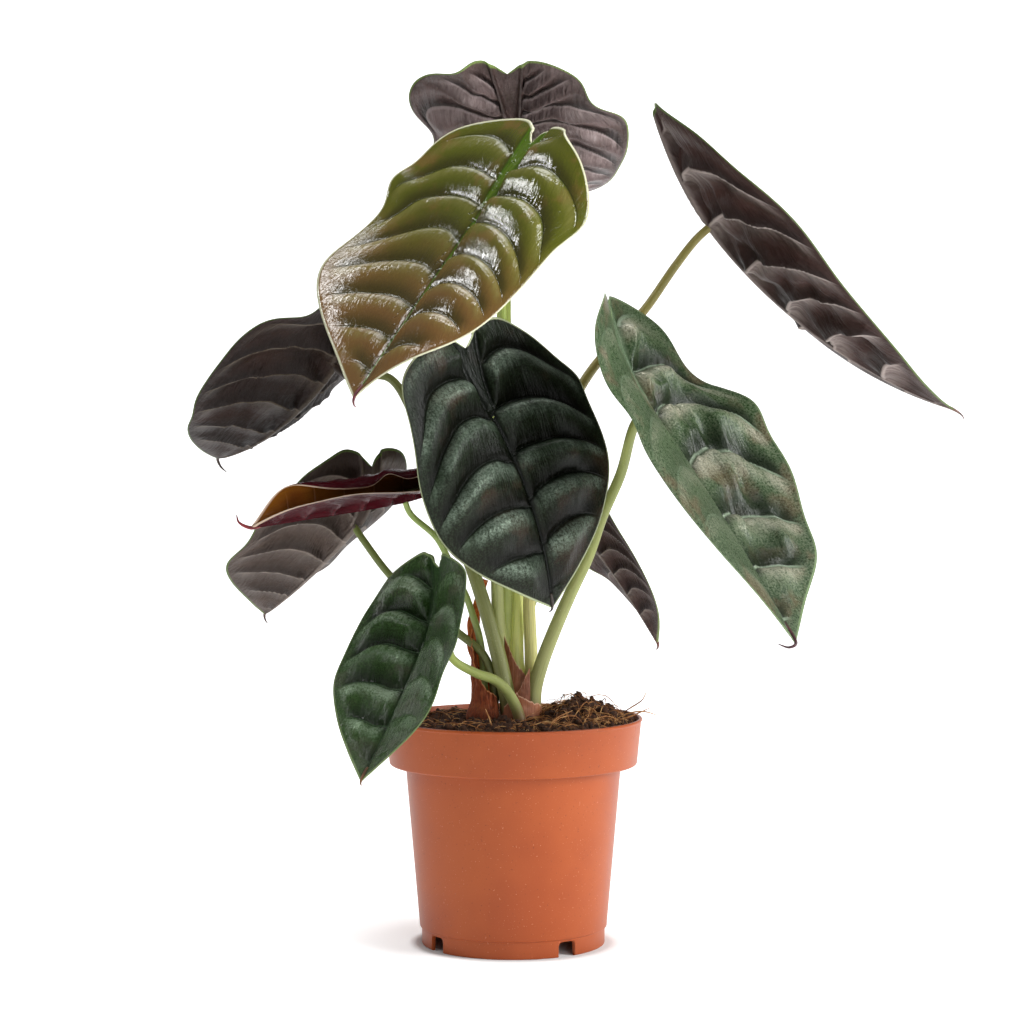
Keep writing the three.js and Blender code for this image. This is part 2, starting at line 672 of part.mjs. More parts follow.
function soilSolid() {
  const p = POT;
  const ledge = p.bandBottom + p.wall;
  const floorTop = p.bodyBottom + p.floor + GAP;
  const bandInner = p.bandBottomRadius - p.wall;
  const bandSlope = (p.rimRadius - p.lip - bandInner) / (p.height - ledge);
  const topRadius = bandInner + bandSlope * (SOIL.top - 1 - ledge) - GAP;
  const side = [
    [p.bodyBottomRadius - p.wall - GAP, floorTop],
    [p.bodyTopRadius - p.wall - GAP, ledge + GAP],
    [p.bandBottomRadius - p.wall - GAP, ledge + GAP],
  ];
  const ringAt = (radius, heightAt) => {
    const ring = [];
    for (let i = 0; i < POT.sides; i += 1) {
      const angle = (2 * Math.PI * i) / POT.sides;
      const [x, y] = [radius * Math.cos(angle), radius * Math.sin(angle)];
      ring.push(new THREE.Vector3(x, y, heightAt(x, y)));
    }
    return ring;
  };
  const rings = side.map(([radius, z]) => ringAt(radius, () => z));
  for (let r = 0; r < SOIL.rings; r += 1) {
    rings.push(ringAt(topRadius * (1 - r / SOIL.rings) ** 0.9, soilTop));
  }
  return ringSolid(rings);
}

// Assembly

const plant = new THREE.Group();
function place(name, solid, color, roughness) {
  const material = new THREE.MeshStandardMaterial({ color, roughness, metalness: 0, name });
  const mesh = new THREE.Mesh(toGeometry(solid), material);
  mesh.name = name;
  plant.add(mesh);
}

for (const leaf of LEAVES) leaf.pose = leafPose(leaf);

// What is already placed, each a little fatter, so that the next piece can be cut clear of it.
const taken = [];
function clearOfTaken(solid) {
  return largest(taken.reduce((rest, fat) => rest.subtract(fat), solid)).simplify(CUT_TOLERANCE);
}

place('pot', potSolid(), 0xc1643f, 0.45);
for (const leaf of LEAVES) {
  place(`stalk_${leaf.name}`, clearOfTaken(stalkSolid(leaf)), leaf.stalkColor, 0.5);
  taken.push(stalkSolid(leaf, GAP));
}
place(STUMP.name, clearOfTaken(stumpSolid()), STUMP.color, 0.8);
taken.push(stumpSolid(GAP));
place(DRY_STRIP.name, clearOfTaken(stripSolid(DRY_STRIP)), DRY_STRIP.color, 0.8);
taken.push(stripSolid(DRY_STRIP, GAP));
for (const sheath of SHEATHS) {
  place(sheath.name, clearOfTaken(sheathSolid(sheath)), sheath.color, 0.7);
  taken.push(sheathSolid(sheath, GAP));
}
place('soil', clearOfTaken(soilSolid()), 0x2e1d13, 0.95);
for (const leaf of LEAVES) place(`leaf_${leaf.name}`, bladeSolid(leaf), leaf.color, 0.4);

// The middle of the whole box stands over the origin.
const box = new THREE.Box3().setFromObject(plant);
const centre = box.getCenter(new THREE.Vector3());
plant.position.set(-centre.x, -centre.y, -box.min.z);
plant.updateMatrixWorld(true);

export default plant;
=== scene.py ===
# Potted alocasia with quilted dark shield leaves on pale stalks, two shoots in a 12 cm nursery pot.
# The frame is in metres, +Z up; the sizes below are millimetres round the pot's upright axis.
import json
from functools import partialmethod

import bpy
import numpy as np
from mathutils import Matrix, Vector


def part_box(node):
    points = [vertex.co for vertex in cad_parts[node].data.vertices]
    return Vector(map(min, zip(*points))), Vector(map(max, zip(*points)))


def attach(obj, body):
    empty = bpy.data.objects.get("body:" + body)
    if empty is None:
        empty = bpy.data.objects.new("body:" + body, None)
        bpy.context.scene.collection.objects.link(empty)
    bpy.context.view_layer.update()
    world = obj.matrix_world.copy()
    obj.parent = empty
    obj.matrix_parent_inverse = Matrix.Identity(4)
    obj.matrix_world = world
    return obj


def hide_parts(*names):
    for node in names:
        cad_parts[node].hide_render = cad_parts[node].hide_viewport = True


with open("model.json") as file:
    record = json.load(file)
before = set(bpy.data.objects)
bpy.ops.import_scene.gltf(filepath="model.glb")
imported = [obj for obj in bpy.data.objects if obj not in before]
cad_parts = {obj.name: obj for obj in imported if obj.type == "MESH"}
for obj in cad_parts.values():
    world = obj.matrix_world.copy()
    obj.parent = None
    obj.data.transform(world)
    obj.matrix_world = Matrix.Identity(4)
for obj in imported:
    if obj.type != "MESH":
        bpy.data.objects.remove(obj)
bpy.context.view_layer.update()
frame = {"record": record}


# The pot
# A thin injection-moulded nursery pot of terracotta-coloured plastic with a satin skin: a wide rim
# band on a slightly tapering body, which stands on a thin foot ring with four arched notches.
# The floor has five drain holes. Everything else is measured from the pot's axis.

POT_BOX = np.array(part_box("pot"))
AXIS = np.array([*POT_BOX.mean(0)[:2], 0.0]) * 1000
# Radius, height and rounding of each corner of the pot's section, from the middle of its underside.
POT_SECTION = [
    (0, 8.1, 0), (40.9, 8.1, 0.6), (40.9, 0, 0.7), (42.7, 0, 0.7), (42.7, 8.1, 0.4), (43.6, 8.1, 0.5),
    (50.2, 83.9, 0.8), (57.6, 83.9, 1.0), (59.6, 103.9, 0.3), (60, 104.3, 0.25), (60, 105.5, 0.5),
    (58.6, 105.5, 0.5), (56.4, 85.1, 1.0), (49.0, 85.1, 0.8), (42.4, 9.5, 1.5), (0, 9.5, 0),
]
POT_COLUMNS = 256
FOOT_RADIUS = 42.0
# The notches and the drains round the middle one stand at the same angles, from the first on.
NOTCH = {"wide": 9.0, "high": 7.0, "corner": 2.0}
NOTCH_TURNS = [np.radians(-55.0 + 90 * k) for k in range(4)]
DRAIN = {"radius": 4.0, "low": 4.0, "high": 13.0, "place": 31.0, "sides": 24}
# Points of a mesh are merged where they fall on one of so many steps of a millimetre.
WELDS = 2000


def add_piece(name, grids, finishes, shown=True):
    """One closed mesh from grids of points. Neighbouring rows and columns are joined by faces,
    points in one place are merged, a face that has lost a corner is a triangle, and all faces are
    turned round if the volume they enclose comes out below nothing."""
    found, first = [], 0
    for grid in grids:
        shape = grid["points"].shape[:2]
        ids = first + np.arange(shape[0] * shape[1]).reshape(shape)
        first += ids.size
        quads = np.stack([ids[:-1, :-1], ids[:-1, 1:], ids[1:, 1:], ids[1:, :-1]], -1)
        found.append((grid["points"].reshape(-1, 3), quads.reshape(-1, 4),
                      np.broadcast_to(grid.get("flat", 0.0), (*shape, 2)).reshape(-1, 2),
                      np.broadcast_to(grid.get("slot", 0), quads.shape[:2]).ravel(),
                      np.broadcast_to(grid.get("margin", 0.0), shape).ravel()))
    places, quads, flats, slots, margins = (np.concatenate(parts) for parts in zip(*found))
    _, kept, merged = np.unique(np.round(places * WELDS).astype(np.int64), axis=0,
                                return_index=True, return_inverse=True)
    merged = merged.ravel()
    welded = merged[quads]
    same = welded == np.roll(welded, -1, axis=1)
    whole = (same.sum(1) == 0) & (welded[:, 0] != welded[:, 2]) & (welded[:, 1] != welded[:, 3])
    three = np.take_along_axis(quads, (same.argmax(1)[:, None] + [1, 2, 3]) % 4, 1)
    cut = (same.sum(1) == 1) & (merged[three[:, 0]] != merged[three[:, 2]])
    fours, threes = quads[whole], three[cut]
    a, b, c = places[np.vstack([fours[:, [0, 1, 2]], fours[:, [0, 2, 3]], threes])].transpose(1, 0, 2)
    way = -1 if np.einsum("ij,ij->", a, np.cross(b, c)) < 0 else 1
    corners = np.hstack([fours[:, ::way].ravel(), threes[:, ::way].ravel()])
    sizes = np.repeat([4, 3], [len(fours), len(threes)])
    mesh = bpy.data.meshes.new(name)
    mesh.vertices.add(len(kept))
    mesh.vertices.foreach_set("co", ((places[kept] + AXIS) / 1000).ravel())
    mesh.loops.add(len(corners))
    mesh.loops.foreach_set("vertex_index", merged[corners])
    mesh.polygons.add(len(sizes))
    mesh.polygons.foreach_set("loop_start", np.cumsum(sizes) - sizes)
    mesh.polygons.foreach_set("material_index", np.hstack([slots[whole], slots[cut]]))
    mesh.update(calc_edges=True)
    mesh.uv_layers.new(name="flat").uv.foreach_set("vector", flats[corners].ravel())
    mesh.attributes.new("margin", "FLOAT", "POINT").data.foreach_set("value", margins[kept])
    mesh.shade_smooth()
    for finish in finishes:
        mesh.materials.append(finish)
    piece = bpy.data.objects.new(name, mesh)
    bpy.context.scene.collection.objects.link(piece)
    if shown:
        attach(piece, "root")
    return piece


def rounded(section, steps=5):
    """Section with each corner replaced by an arc that touches both sides: the arc starts and ends
    at radius / tan(half the corner's angle) from the corner."""
    spots = [complex(x, y) for x, y, _ in section]
    points = spots[:1]
    for before, here, after, (_, _, radius) in zip(spots, spots[1:], spots[2:], section[1:]):
        back, ahead = ((end - here) / abs(end - here) for end in (before, after))
        half = abs(np.angle(ahead / back)) / 2
        middle = here + (back + ahead) / abs(back + ahead) * radius / np.sin(half)
        for t in np.linspace(0, 1, steps):
            ray = here - middle + (back * (1 - t) + ahead * t) * radius / np.tan(half)
            points.append(middle + ray / max(abs(ray), 1e-9) * radius)
    return np.array([(point.real, point.imag) for point in [*points, spots[-1]]])


def notch_height(angle):
    """Height that the foot ring is cut to at an angle: an arch with a flat top and round corners."""
    off = (angle - NOTCH_TURNS[0] + np.pi / 4) % (np.pi / 2) - np.pi / 4
    inside = NOTCH["wide"] / 2 - np.abs(off) * FOOT_RADIUS
    round_off = np.clip(NOTCH["corner"] - inside, 0, NOTCH["corner"])
    arch = NOTCH["high"] - NOTCH["corner"] + np.sqrt(NOTCH["corner"] ** 2 - round_off ** 2)
    return np.where(inside > 0, arch, 0)


def full_turn(sides):
    """Angles of so many even steps, with the first one again at the end."""
    return np.append(np.linspace(0, 2 * np.pi, sides + 1)[:-1], 0)


def turned(radius, height, turns):
    """Grid of a profile turned about the upright axis: rows of radius and height, columns of angle."""
    return np.stack([radius * np.cos(turns), radius * np.sin(turns), height + 0 * turns], -1)


edge = NOTCH["wide"] / 2 / FOOT_RADIUS
near = edge * np.array([-1.0005, -0.9995, *np.linspace(-1, 1, 15)[1:-1], 0.9995, 1.0005])
turns = np.hstack([turn + near for turn in NOTCH_TURNS]) % (2 * np.pi)
turns = np.unique(np.hstack([np.arange(POT_COLUMNS) * 2 * np.pi / POT_COLUMNS, turns]))
turns = np.append(turns, turns[0])
radius, height = rounded(POT_SECTION).T[..., None]
in_foot = (radius > 40) & (height < 8)
height = np.where(in_foot, np.maximum(height, notch_height(turns)), height + 0 * turns)
pot_grid = turned(radius, height, turns)


class Shade:
    """A shader socket. Sums written with it add Math nodes, and node() adds any other node."""

    def __init__(self, tree, socket=None):
        """Holds a node tree and one output socket in it."""
        self.tree, self.socket = tree, socket

    def node(self, kind, inputs=(), out=0, stops=(), **settings):
        """Adds a node of that kind: settings first, then ramp stops, then the values or links."""
        made = self.tree.nodes.new("ShaderNode" + kind)
        for key, value in settings.items():
            setattr(made, key, value)
        for place, _ in stops[2:]:
            made.color_ramp.elements.new(place)
        for k, (place, paint) in enumerate(stops):
            element = made.color_ramp.elements[k]
            element.position, element.color = place, color(*paint)
        for key, value in dict(inputs).items():
            if isinstance(value, Shade):
                self.tree.links.new(value.socket, made.inputs[key])
            else:
                made.inputs[key].default_value = value
        return Shade(self.tree, made.outputs[out])

    def maths(self, operation, *others):
        """A Math node with this socket first and the others after it."""
        return self.node("Math", dict(enumerate((self, *others))), operation=operation)

    __add__ = __radd__ = partialmethod(maths, "ADD")
    __mul__ = __rmul__ = partialmethod(maths, "MULTIPLY")
    __sub__ = partialmethod(maths, "SUBTRACT")
    __truediv__ = partialmethod(maths, "DIVIDE")
    __abs__ = partialmethod(maths, "ABSOLUTE")

    def __rsub__(self, other):
        """A number less this socket."""
        return self.node("Math", {0: other, 1: self}, operation="SUBTRACT")

    def rise(self, low, high):
        """0 below low, 1 above high and a smooth step between them; falls where low is above high."""
        return self.node("MapRange", {0: self, 1: low, 2: high}, interpolation_type="SMOOTHSTEP")

    def blend(self, first, second):
        """Mixes two colours, with this socket as the share of the second."""
        return self.node("Mix", {0: self, 6: first, 7: second}, out=2, data_type="RGBA")

    def split(self):
        """The X, Y and Z sockets of this vector."""
        return [self.node("SeparateXYZ", {0: self}, out=k) for k in range(3)]

    def noise(self, scale, detail=3.0, rough=0.55):
        """Noise at the place that this vector gives."""
        inputs = {"Vector": self, "Scale": scale, "Detail": detail, "Roughness": rough}
        return self.node("TexNoise", inputs)

    def bumps(self, *layers):
        """Normal from several (height, distance in metres, strength) layers, one bump on another."""
        normal = None
        for height, distance, strength in layers:
            inputs = {"Height": height, "Distance": distance, "Strength": strength}
            if normal:
                inputs["Normal"] = normal
            normal = self.node("Bump", inputs)
        return normal


def color(red, green, blue):
    """Screen colour of 0 to 255 a channel as the linear colour that a shader takes."""
    c = np.array([red, green, blue]) / 255
    return (*np.where(c <= 0.04045, c / 12.92, ((c + 0.055) / 1.055) ** 2.4), 1.0)


def new_finish(name):
    """An empty material, a Shade that adds its nodes, and its Object coordinates."""
    finish = bpy.data.materials.new(name.replace("_", " "))
    finish.use_nodes = True
    finish.node_tree.nodes.clear()
    shade = Shade(finish.node_tree)
    return finish, shade, shade.node("TexCoord", out="Object")


def surface(shade, tint, rough, inputs=(), bumps=()):
    """Ends a material with a Principled shader of this tint, roughness, inputs and bump layers."""
    inputs = {"Base Color": tint, "Roughness": rough, **dict(inputs)}
    if bumps:
        inputs["Normal"] = shade.bumps(*bumps)
    shader = shade.node("BsdfPrincipled", inputs)
    end = shade.tree.nodes.new("ShaderNodeOutputMaterial")
    shade.tree.links.new(shader.socket, end.inputs["Surface"])


def coated(tint, *coats):
    """A tint with colours laid over it in turn, each through its mask and, where a fourth number
    follows the colour, with that share."""
    for mask, paint in coats:
        tint = (mask * paint[3] if len(paint) > 3 else mask).blend(tint, color(*paint[:3]))
    return tint


plastic, shade, place = new_finish("terracotta plastic")
height_up = place.split()[2]
cloud = place.noise(22.0, 3.0)
specks = place.noise(900.0, 1.0).rise(0.70, 0.76)
pale_specks = place.noise(1300.0, 1.0).rise(0.71, 0.77)
dust = place.noise(160.0, 5.0, 0.7).rise(0.52, 0.8) * height_up.rise(0.084, 0.106)
skin = cloud.rise(0.3, 0.7).blend(color(157, 71, 29), color(170, 82, 36))
skin = coated(skin, (dust, (104, 60, 38, 0.35)), (specks, (100, 50, 32, 0.5)),
              (pale_specks, (226, 160, 124, 0.4)))
surface(shade, skin, 0.34 + cloud * 0.12 + dust * 0.2, {"Specular IOR Level": 0.3},
        [(cloud, 0.0006, 0.15), (place.noise(1400.0, 2.0), 0.00005, 0.5)])

pot = add_piece("nursery_pot", [{"points": pot_grid}], [plastic])
radius, low, high = (DRAIN[key] for key in ("radius", "low", "high"))
drain = np.array([(0, low), (radius, low), (radius, high), (0, high)]).T[..., None]
drain = turned(*drain, full_turn(DRAIN["sides"]))
drains = [{"points": drain}]
for turn in NOTCH_TURNS:
    drains.append({"points": drain + DRAIN["place"] * np.array([np.cos(turn), np.sin(turn), 0])})
drill = add_piece("drain_drill", drains, [], shown=False)
cutter = pot.modifiers.new("drain holes", "BOOLEAN")
cutter.object = drill
cutter.solver = "EXACT"
bpy.context.view_layer.update()
drilled = bpy.data.meshes.new_from_object(pot.evaluated_get(bpy.context.evaluated_depsgraph_get()))
pot.modifiers.clear()
pot.data = drilled
bpy.data.objects.remove(drill)
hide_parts("pot")


# The soil
# Dark peat with coir fibres, filled to just under the rim, heaped up at the back right and loose
# on top: a lumpy body in the pot's inner shape, crumbs lying on it and stiff brown fibres.

SOIL = {"top": 103.4, "front_rise": 1.6, "radius": 57.7, "rings": 110, "columns": 260}
MOUND = {"x": 31.5, "y": 5.0, "height": 9.4, "spread": 19.0}
CRUMBS = 1350
FIBRES = 480
LONG_FIBRES = 80
# Straws and fibres that stick out: two in front of the shoots, three past the rim at the right.
STRAWS = [
    [(15, -40, 105), (20, -34, 109), (27, -27, 111.5)],
    [(-9, -46, 104.5), (-10.5, -45, 109), (-12.5, -43, 114)],
    [(46, -18, 106), (53, -20, 109.5), (60, -22, 110.5), (65.5, -23, 109)],
    [(48, -10, 107), (54, -12, 111), (59.5, -14, 115), (61, -16, 118.5)],
    [(44, -24, 105), (51, -27, 108), (58, -29, 111), (62, -30, 113)],
]


def smooth_noise(x, y, size, seed):
    """Random heights from -1 to 1 on a square lattice, eased between its points by 3t^2 - 2t^3."""
    table = np.random.default_rng(seed).uniform(-1, 1, (97, 97))
    u, v = x / size + 40.3, y / size + 37.7
    i, j = np.floor(u).astype(int), np.floor(v).astype(int)
    s, t = u - i, v - j
    s, t = s * s * (3 - 2 * s), t * t * (3 - 2 * t)
    i, j = i % 96, j % 96
    low = table[i, j] * (1 - s) + table[i + 1, j] * s
    return low * (1 - t) + (table[i, j + 1] * (1 - s) + table[i + 1, j + 1] * s) * t


def soil_height(x, y, fine=1.0):
    """Level of the peat: a flat top that rises to the front, one heap with a bell shape, and
    noise whose size halves as its height falls."""
    front = np.clip((-y - 15) / 35, 0, 1)
    out = np.hypot(x, y) / SOIL["radius"]
    level = SOIL["top"] + SOIL["front_rise"] * front ** 2 * (3 - 2 * front)
    away = np.hypot(x - MOUND["x"], y - MOUND["y"]) / MOUND["spread"]
    level = level + MOUND["height"] * np.exp(-away ** 2) * np.clip((1.02 - out) / 0.12, 0, 1)
    rises = (0.9, 0.9, 0.8 * fine, 0.5 * fine, 0.25 * fine)
    for seed, (size, rise) in enumerate(zip((13, 6.5, 3.2, 1.6, 0.8), rises), 1):
        level = level + rise * smooth_noise(x, y, size, seed)
    return level - 1.2 * np.clip((out - 0.93) / 0.07, 0, 1)


peat, shade, place = new_finish("peat")
grain = place.noise(420.0, 6.0, 0.7)
patch = place.noise(120.0, 3.0)
threads = place.noise(900.0, 3.0, 0.6)
earth = shade.node("ValToRGB", {0: grain}, stops=[
    (0.3, (20, 11, 6)), (0.48, (58, 33, 17)), (0.62, (104, 63, 34)), (0.78, (156, 108, 64))])
earth = coated(earth, (patch.rise(0.35, 0.75), (62, 36, 19)),
               (threads.rise(0.66, 0.74), (168, 128, 88, 0.7)))
surface(shade, earth, 0.85 + grain * 0.15, bumps=[(grain, 0.0012, 0.9), (threads, 0.0004, 0.7)])
fibre_finish, shade, place = new_finish("coir")
tone = place.noise(260.0, 2.0)
tint = shade.node("ValToRGB", {0: tone}, stops=[
    (0.3, (112, 66, 32)), (0.5, (168, 112, 62)), (0.72, (222, 178, 118))])
surface(shade, tint, 0.7 + tone * 0.2)

turns = full_turn(SOIL["columns"])
spread = SOIL["radius"] * np.linspace(0, 1, SOIL["rings"])[:, None] ** 0.9
top = turned(spread, soil_height(spread * np.cos(turns), spread * np.sin(turns)), turns)
under = turned(*np.array([[56.1, 48.7, 42.2, 0], [85.6, 85.4, 9.8, 9.8]])[..., None], turns)
soil = add_piece("peat", [{"points": np.vstack([top, under])}], [peat])

draw = np.random.default_rng(11)


def lumps(count, low, high, lift):
    """Grids of stony lumps: a sphere of 5 x 6 faces with its points moved at random, stretched,
    turned about the vertical and set on the soil, smaller ones more often."""
    polar = np.linspace(0, np.pi, 6)[:, None]
    ball = turned(np.sin(polar), np.cos(polar), full_turn(6))
    reach = (SOIL["radius"] - 2.5) * np.sqrt(draw.random(count))
    spot = reach * np.exp(1j * draw.uniform(0, 2 * np.pi, count))
    x, y = spot.real, spot.imag
    size = low + (high - low) * draw.random(count) ** 3
    stretch = draw.uniform(0.55, 1.3, (count, 1, 1, 3)) * size[:, None, None, None]
    rough = 1 + 0.28 * draw.uniform(-1, 1, (count, 6, 7, 1))
    rough[:, 0] = rough[:, 0, :1]
    rough[:, -1] = rough[:, -1, :1]
    rough[:, :, -1] = rough[:, :, 0]
    east, north, up = np.moveaxis(ball * rough * stretch, -1, 0)
    level = (east + 1j * north) * np.exp(1j * draw.uniform(0, 2 * np.pi, (count, 1, 1)))
    made = np.stack([level.real, level.imag, up], -1)
    centre = np.stack([x, y, soil_height(x, y) + lift * size], -1)
    return [{"points": grid} for grid in made + centre[:, None, None, :]]


crumbs = add_piece("peat_crumbs", lumps(CRUMBS, 0.5, 2.3, 0.25), [peat])


def lengths(route):
    """Distance along a path at each of its points."""
    return np.append(0, np.cumsum(np.linalg.norm(np.diff(route, axis=0), axis=1)))


def tube(route, radii, sides):
    """Grid of rings round a path. Each ring lies across the path, its first axis square to the
    direction in which the path bends least; the ends are closed to a point. The flat coordinates
    are the distance along it and the share of the way round."""
    ahead = np.gradient(route, axis=0)
    ahead /= np.linalg.norm(ahead, axis=1, keepdims=True)
    across = np.cross(ahead, np.linalg.svd(ahead, full_matrices=False)[2][-1])
    across /= np.linalg.norm(across, axis=1, keepdims=True)
    turn = full_turn(sides)[:, None]
    rings = np.cos(turn) * across[:, None] + np.sin(turn) * np.cross(ahead, across)[:, None]
    points = route[:, None] + radii[:, None, None] * rings
    ends = [np.repeat(route[k][None, None], sides + 1, 1) for k in (0, -1)]
    along = np.pad(lengths(route), 1, "edge")[:, None]
    flat = np.stack(np.broadcast_arrays(along, np.arange(sides + 1) / sides), -1)
    return {"points": np.vstack([ends[0], points, ends[1]]), "flat": flat}


def mirrored(points):
    """Points with one more at each end, the next one mirrored outwards."""
    return np.vstack([2 * points[0] - points[1], points, 2 * points[-1] - points[-2]])


def smooth_route(points, steps):
    """Even steps along a smooth curve through the points. Its knots lie the square root of the
    distance apart, and it is mixed from four points in turn, two by two, on three levels."""
    points = mirrored(np.array(points, float))
    knots = np.append(0, np.cumsum(np.linalg.norm(np.diff(points, axis=0), axis=1) ** 0.5))
    t = np.linspace(knots[1], knots[-2] - 1e-9, 8 * steps)
    i = np.clip(np.searchsorted(knots, t, "right") - 1, 1, len(points) - 3)
    t = t[:, None]
    mixed, k = zip(*((points[i + j], knots[i + j][:, None]) for j in (-1, 0, 1, 2)))

    def mix(a, b, start, end):
        """From a at the start knot to b at the end knot in proportion."""
        return (a * (end - t) + b * (t - start)) / (end - start)

    for gap in (1, 2):
        mixed = [mix(mixed[j], mixed[j + 1], k[j], k[j + gap]) for j in range(4 - gap)]
    curve = mix(*mixed, k[1], k[2])
    along = lengths(curve)
    even = np.linspace(0, along[-1], steps)
    return np.stack([np.interp(even, along, axis) for axis in curve.T], -1)


def fibre(size, lean, turns=(0, 2 * np.pi)):
    """A stiff coir fibre: a shallow arc of random heading that starts in the soil."""
    reach = (SOIL["radius"] - 5) * np.sqrt(draw.random())
    turn, heading = draw.uniform(*turns), draw.uniform(0, 2 * np.pi)
    length = draw.uniform(*size)
    t = np.linspace(0, 1, 7)
    spot = reach * np.exp(1j * turn) + length * (t - 0.5) * np.exp(1j * heading)
    spot = spot + 0.12 * length * (np.sin(3 * t + turn) + 1j * np.cos(2 * t + turn))
    spot = spot * min(1, (SOIL["radius"] - 1.5) / max(np.abs(spot).max(), 1))
    rise = draw.uniform(*lean) * length
    z = soil_height(spot.real, spot.imag, 0.4) + 0.3 + rise * 4 * t * (1 - t) - 0.6 * (2 * t - 1) ** 4
    radii = draw.uniform(0.1, 0.28) * np.sin(np.pi * (0.1 + 0.8 * t))
    return tube(np.stack([spot.real, spot.imag, z], -1), radii, 5)


tangle = [fibre((4, 15), (0.0, 0.2)) for _ in range(FIBRES)]
tangle += [fibre((12, 26), (0.05, 0.3), (-1.3, 1.6)) for _ in range(LONG_FIBRES)]
for route in STRAWS:
    tangle.append(tube(smooth_route(route, 12), 0.35 * np.sin(np.pi * np.linspace(0.12, 0.88, 12)), 6))
fibres = add_piece("coir_fibres", tangle, [fibre_finish])
for piece in (soil, crumbs, fibres):
    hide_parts("soil")


# The stalks
# Ten fleshy, smooth leaf stalks, six on the right shoot and four on the left. Each rises from the
# soil, thick and clasping at its base, bends out and meets its blade from below, a third of the way
# from the notch. Pale green, with fine lengthwise streaks; base browner where it was sheathed.

# Where the stalk meets the blade, then the blade's heading, pitch and roll in degrees.
SEATS = {
    "upper_left": ((-84, 5, 270), 129, -39, -7),
    "mid_right": ((61, -40.5, 249.5), -31, -51, -12),
    "low_front": ((-36.5, -69.5, 154), -134, -61, 12),
    "centre": ((-9.5, -60.5, 247), -14, -60, 37),
    "high_right": ((91.5, -12.5, 333.5), 12, -52, 7),
    "top_back": ((0.5, 62, 385), 83, -36, 0),
    "top_front": ((-13, -56.5, 337.5), -153, -52, 0),
    "small_right": ((36.5, 41, 190), 37, -48, 9),
    "mid_left": ((-75.5, 17, 194.5), 132, -38, -8),
    "young_left": ((-50.5, -14, 209), 187, -12, -29),
}
# Radius at the base and the top, the route from the soil, and the colour low down and high up.
STALKS = {
    "upper_left": ((4.3, 1.7), [
        (-2, 0, 108), (-4, 0, 120.5), (-7, 0, 134.5), (-11.5, 0, 151), (-16.5, 0, 167), (-24, 0, 188),
        (-30, 0, 206.5), (-38, 0, 225), (-47, 1, 247.5), (-58, 2, 263.5)],
        (136, 140, 80), (130, 138, 72)),
    "mid_right": ((3.7, 2.2), [
        (9.5, 2, 107.5), (10, 2, 118), (13, 1, 129.5), (18.5, -1, 144.5), (26.5, -5, 163.5),
        (34.5, -9, 181), (41, -14, 200), (49, -20, 219)],
        (172, 174, 112), (158, 168, 90)),
    "low_front": ((3, 1.5), [
        (3.5, -10.5, 103), (1.5, -11.5, 110.5), (-2.5, -15, 118.5), (-8, -21, 124.5),
        (-17.5, -33, 129.5), (-27, -48, 137)],
        (174, 182, 112), (158, 172, 92)),
    "centre": ((3.7, 2), [
        (-2.5, 7.6, 112.5), (-4.2, 7.4, 129), (-6.5, 6.5, 145.5), (-7.5, 3, 164), (-8, -6, 188.5),
        (-10, -20, 212)],
        (196, 198, 132), (170, 184, 100)),
    "high_right": ((3.3, 1.9), [
        (8.3, 9, 112.5), (8.3, 9.5, 133.5), (7.5, 9.5, 159.5), (9, 9, 178), (14, 8, 211), (22, 6, 239),
        (33.5, 6, 262.5), (46, 5, 278.5), (61, 1, 295), (74.5, -5, 314.5)],
        (232, 228, 148), (140, 130, 62)),
    "top_back": ((3.7, 2), [
        (2.7, 12.2, 112), (1.5, 14, 135.5), (2, 17, 159), (0, 22, 206), (-2.5, 28, 253), (-3.5, 35, 295),
        (-2.5, 45, 334.5)],
        (236, 240, 150), (194, 214, 106)),
    "top_front": ((3, 2), [
        (-3.2, 14.4, 112), (-3.2, 14.6, 140), (-3.2, 13, 163.5), (-4, 7, 206.5), (-5, -2, 253),
        (-5.5, -14, 293.5), (-7, -30, 318)],
        (196, 206, 120), (170, 190, 96)),
    "small_right": ((1.9, 1.4), [
        (8.5, 15.6, 111.5), (8.5, 16.5, 135), (8.5, 18, 154), (12.5, 23, 164), (20, 29, 173)],
        (170, 180, 112), (146, 160, 86)),
    "mid_left": ((2.2, 1.7), [
        (-9, 3, 107.5), (-8.8, 3.5, 117.5), (-11, 4, 128), (-15.5, 5, 136), (-25, 7, 143.5),
        (-41.5, 9, 157), (-57, 11, 170)],
        (118, 122, 66), (122, 134, 70)),
    "young_left": ((1.9, 1.4), [
        (-13.5, 8.8, 113), (-14.2, 8.8, 129.5), (-16, 8.5, 142.5), (-19, 7, 152.5), (-22, 5, 161.5),
        (-26, 2, 169.5), (-31, -2, 181), (-36, -6, 190)],
        (166, 182, 104), (160, 182, 96)),
}
ROOT = 92.0
STALK_STEPS = 150


def blade_axes(name):
    """Rows are the blade's forward, left and upward directions, turned by heading, pitch, roll."""
    head, pitch, roll = np.radians(SEATS[name][1:])
    ahead = np.array([np.cos(head) * np.cos(pitch), np.sin(head) * np.cos(pitch), np.sin(pitch)])
    level = np.array([-np.sin(head), np.cos(head), 0.0])
    up = np.cross(ahead, level)
    left = level * np.cos(roll) + up * np.sin(roll)
    return np.stack([ahead, left, up * np.cos(roll) - level * np.sin(roll)])


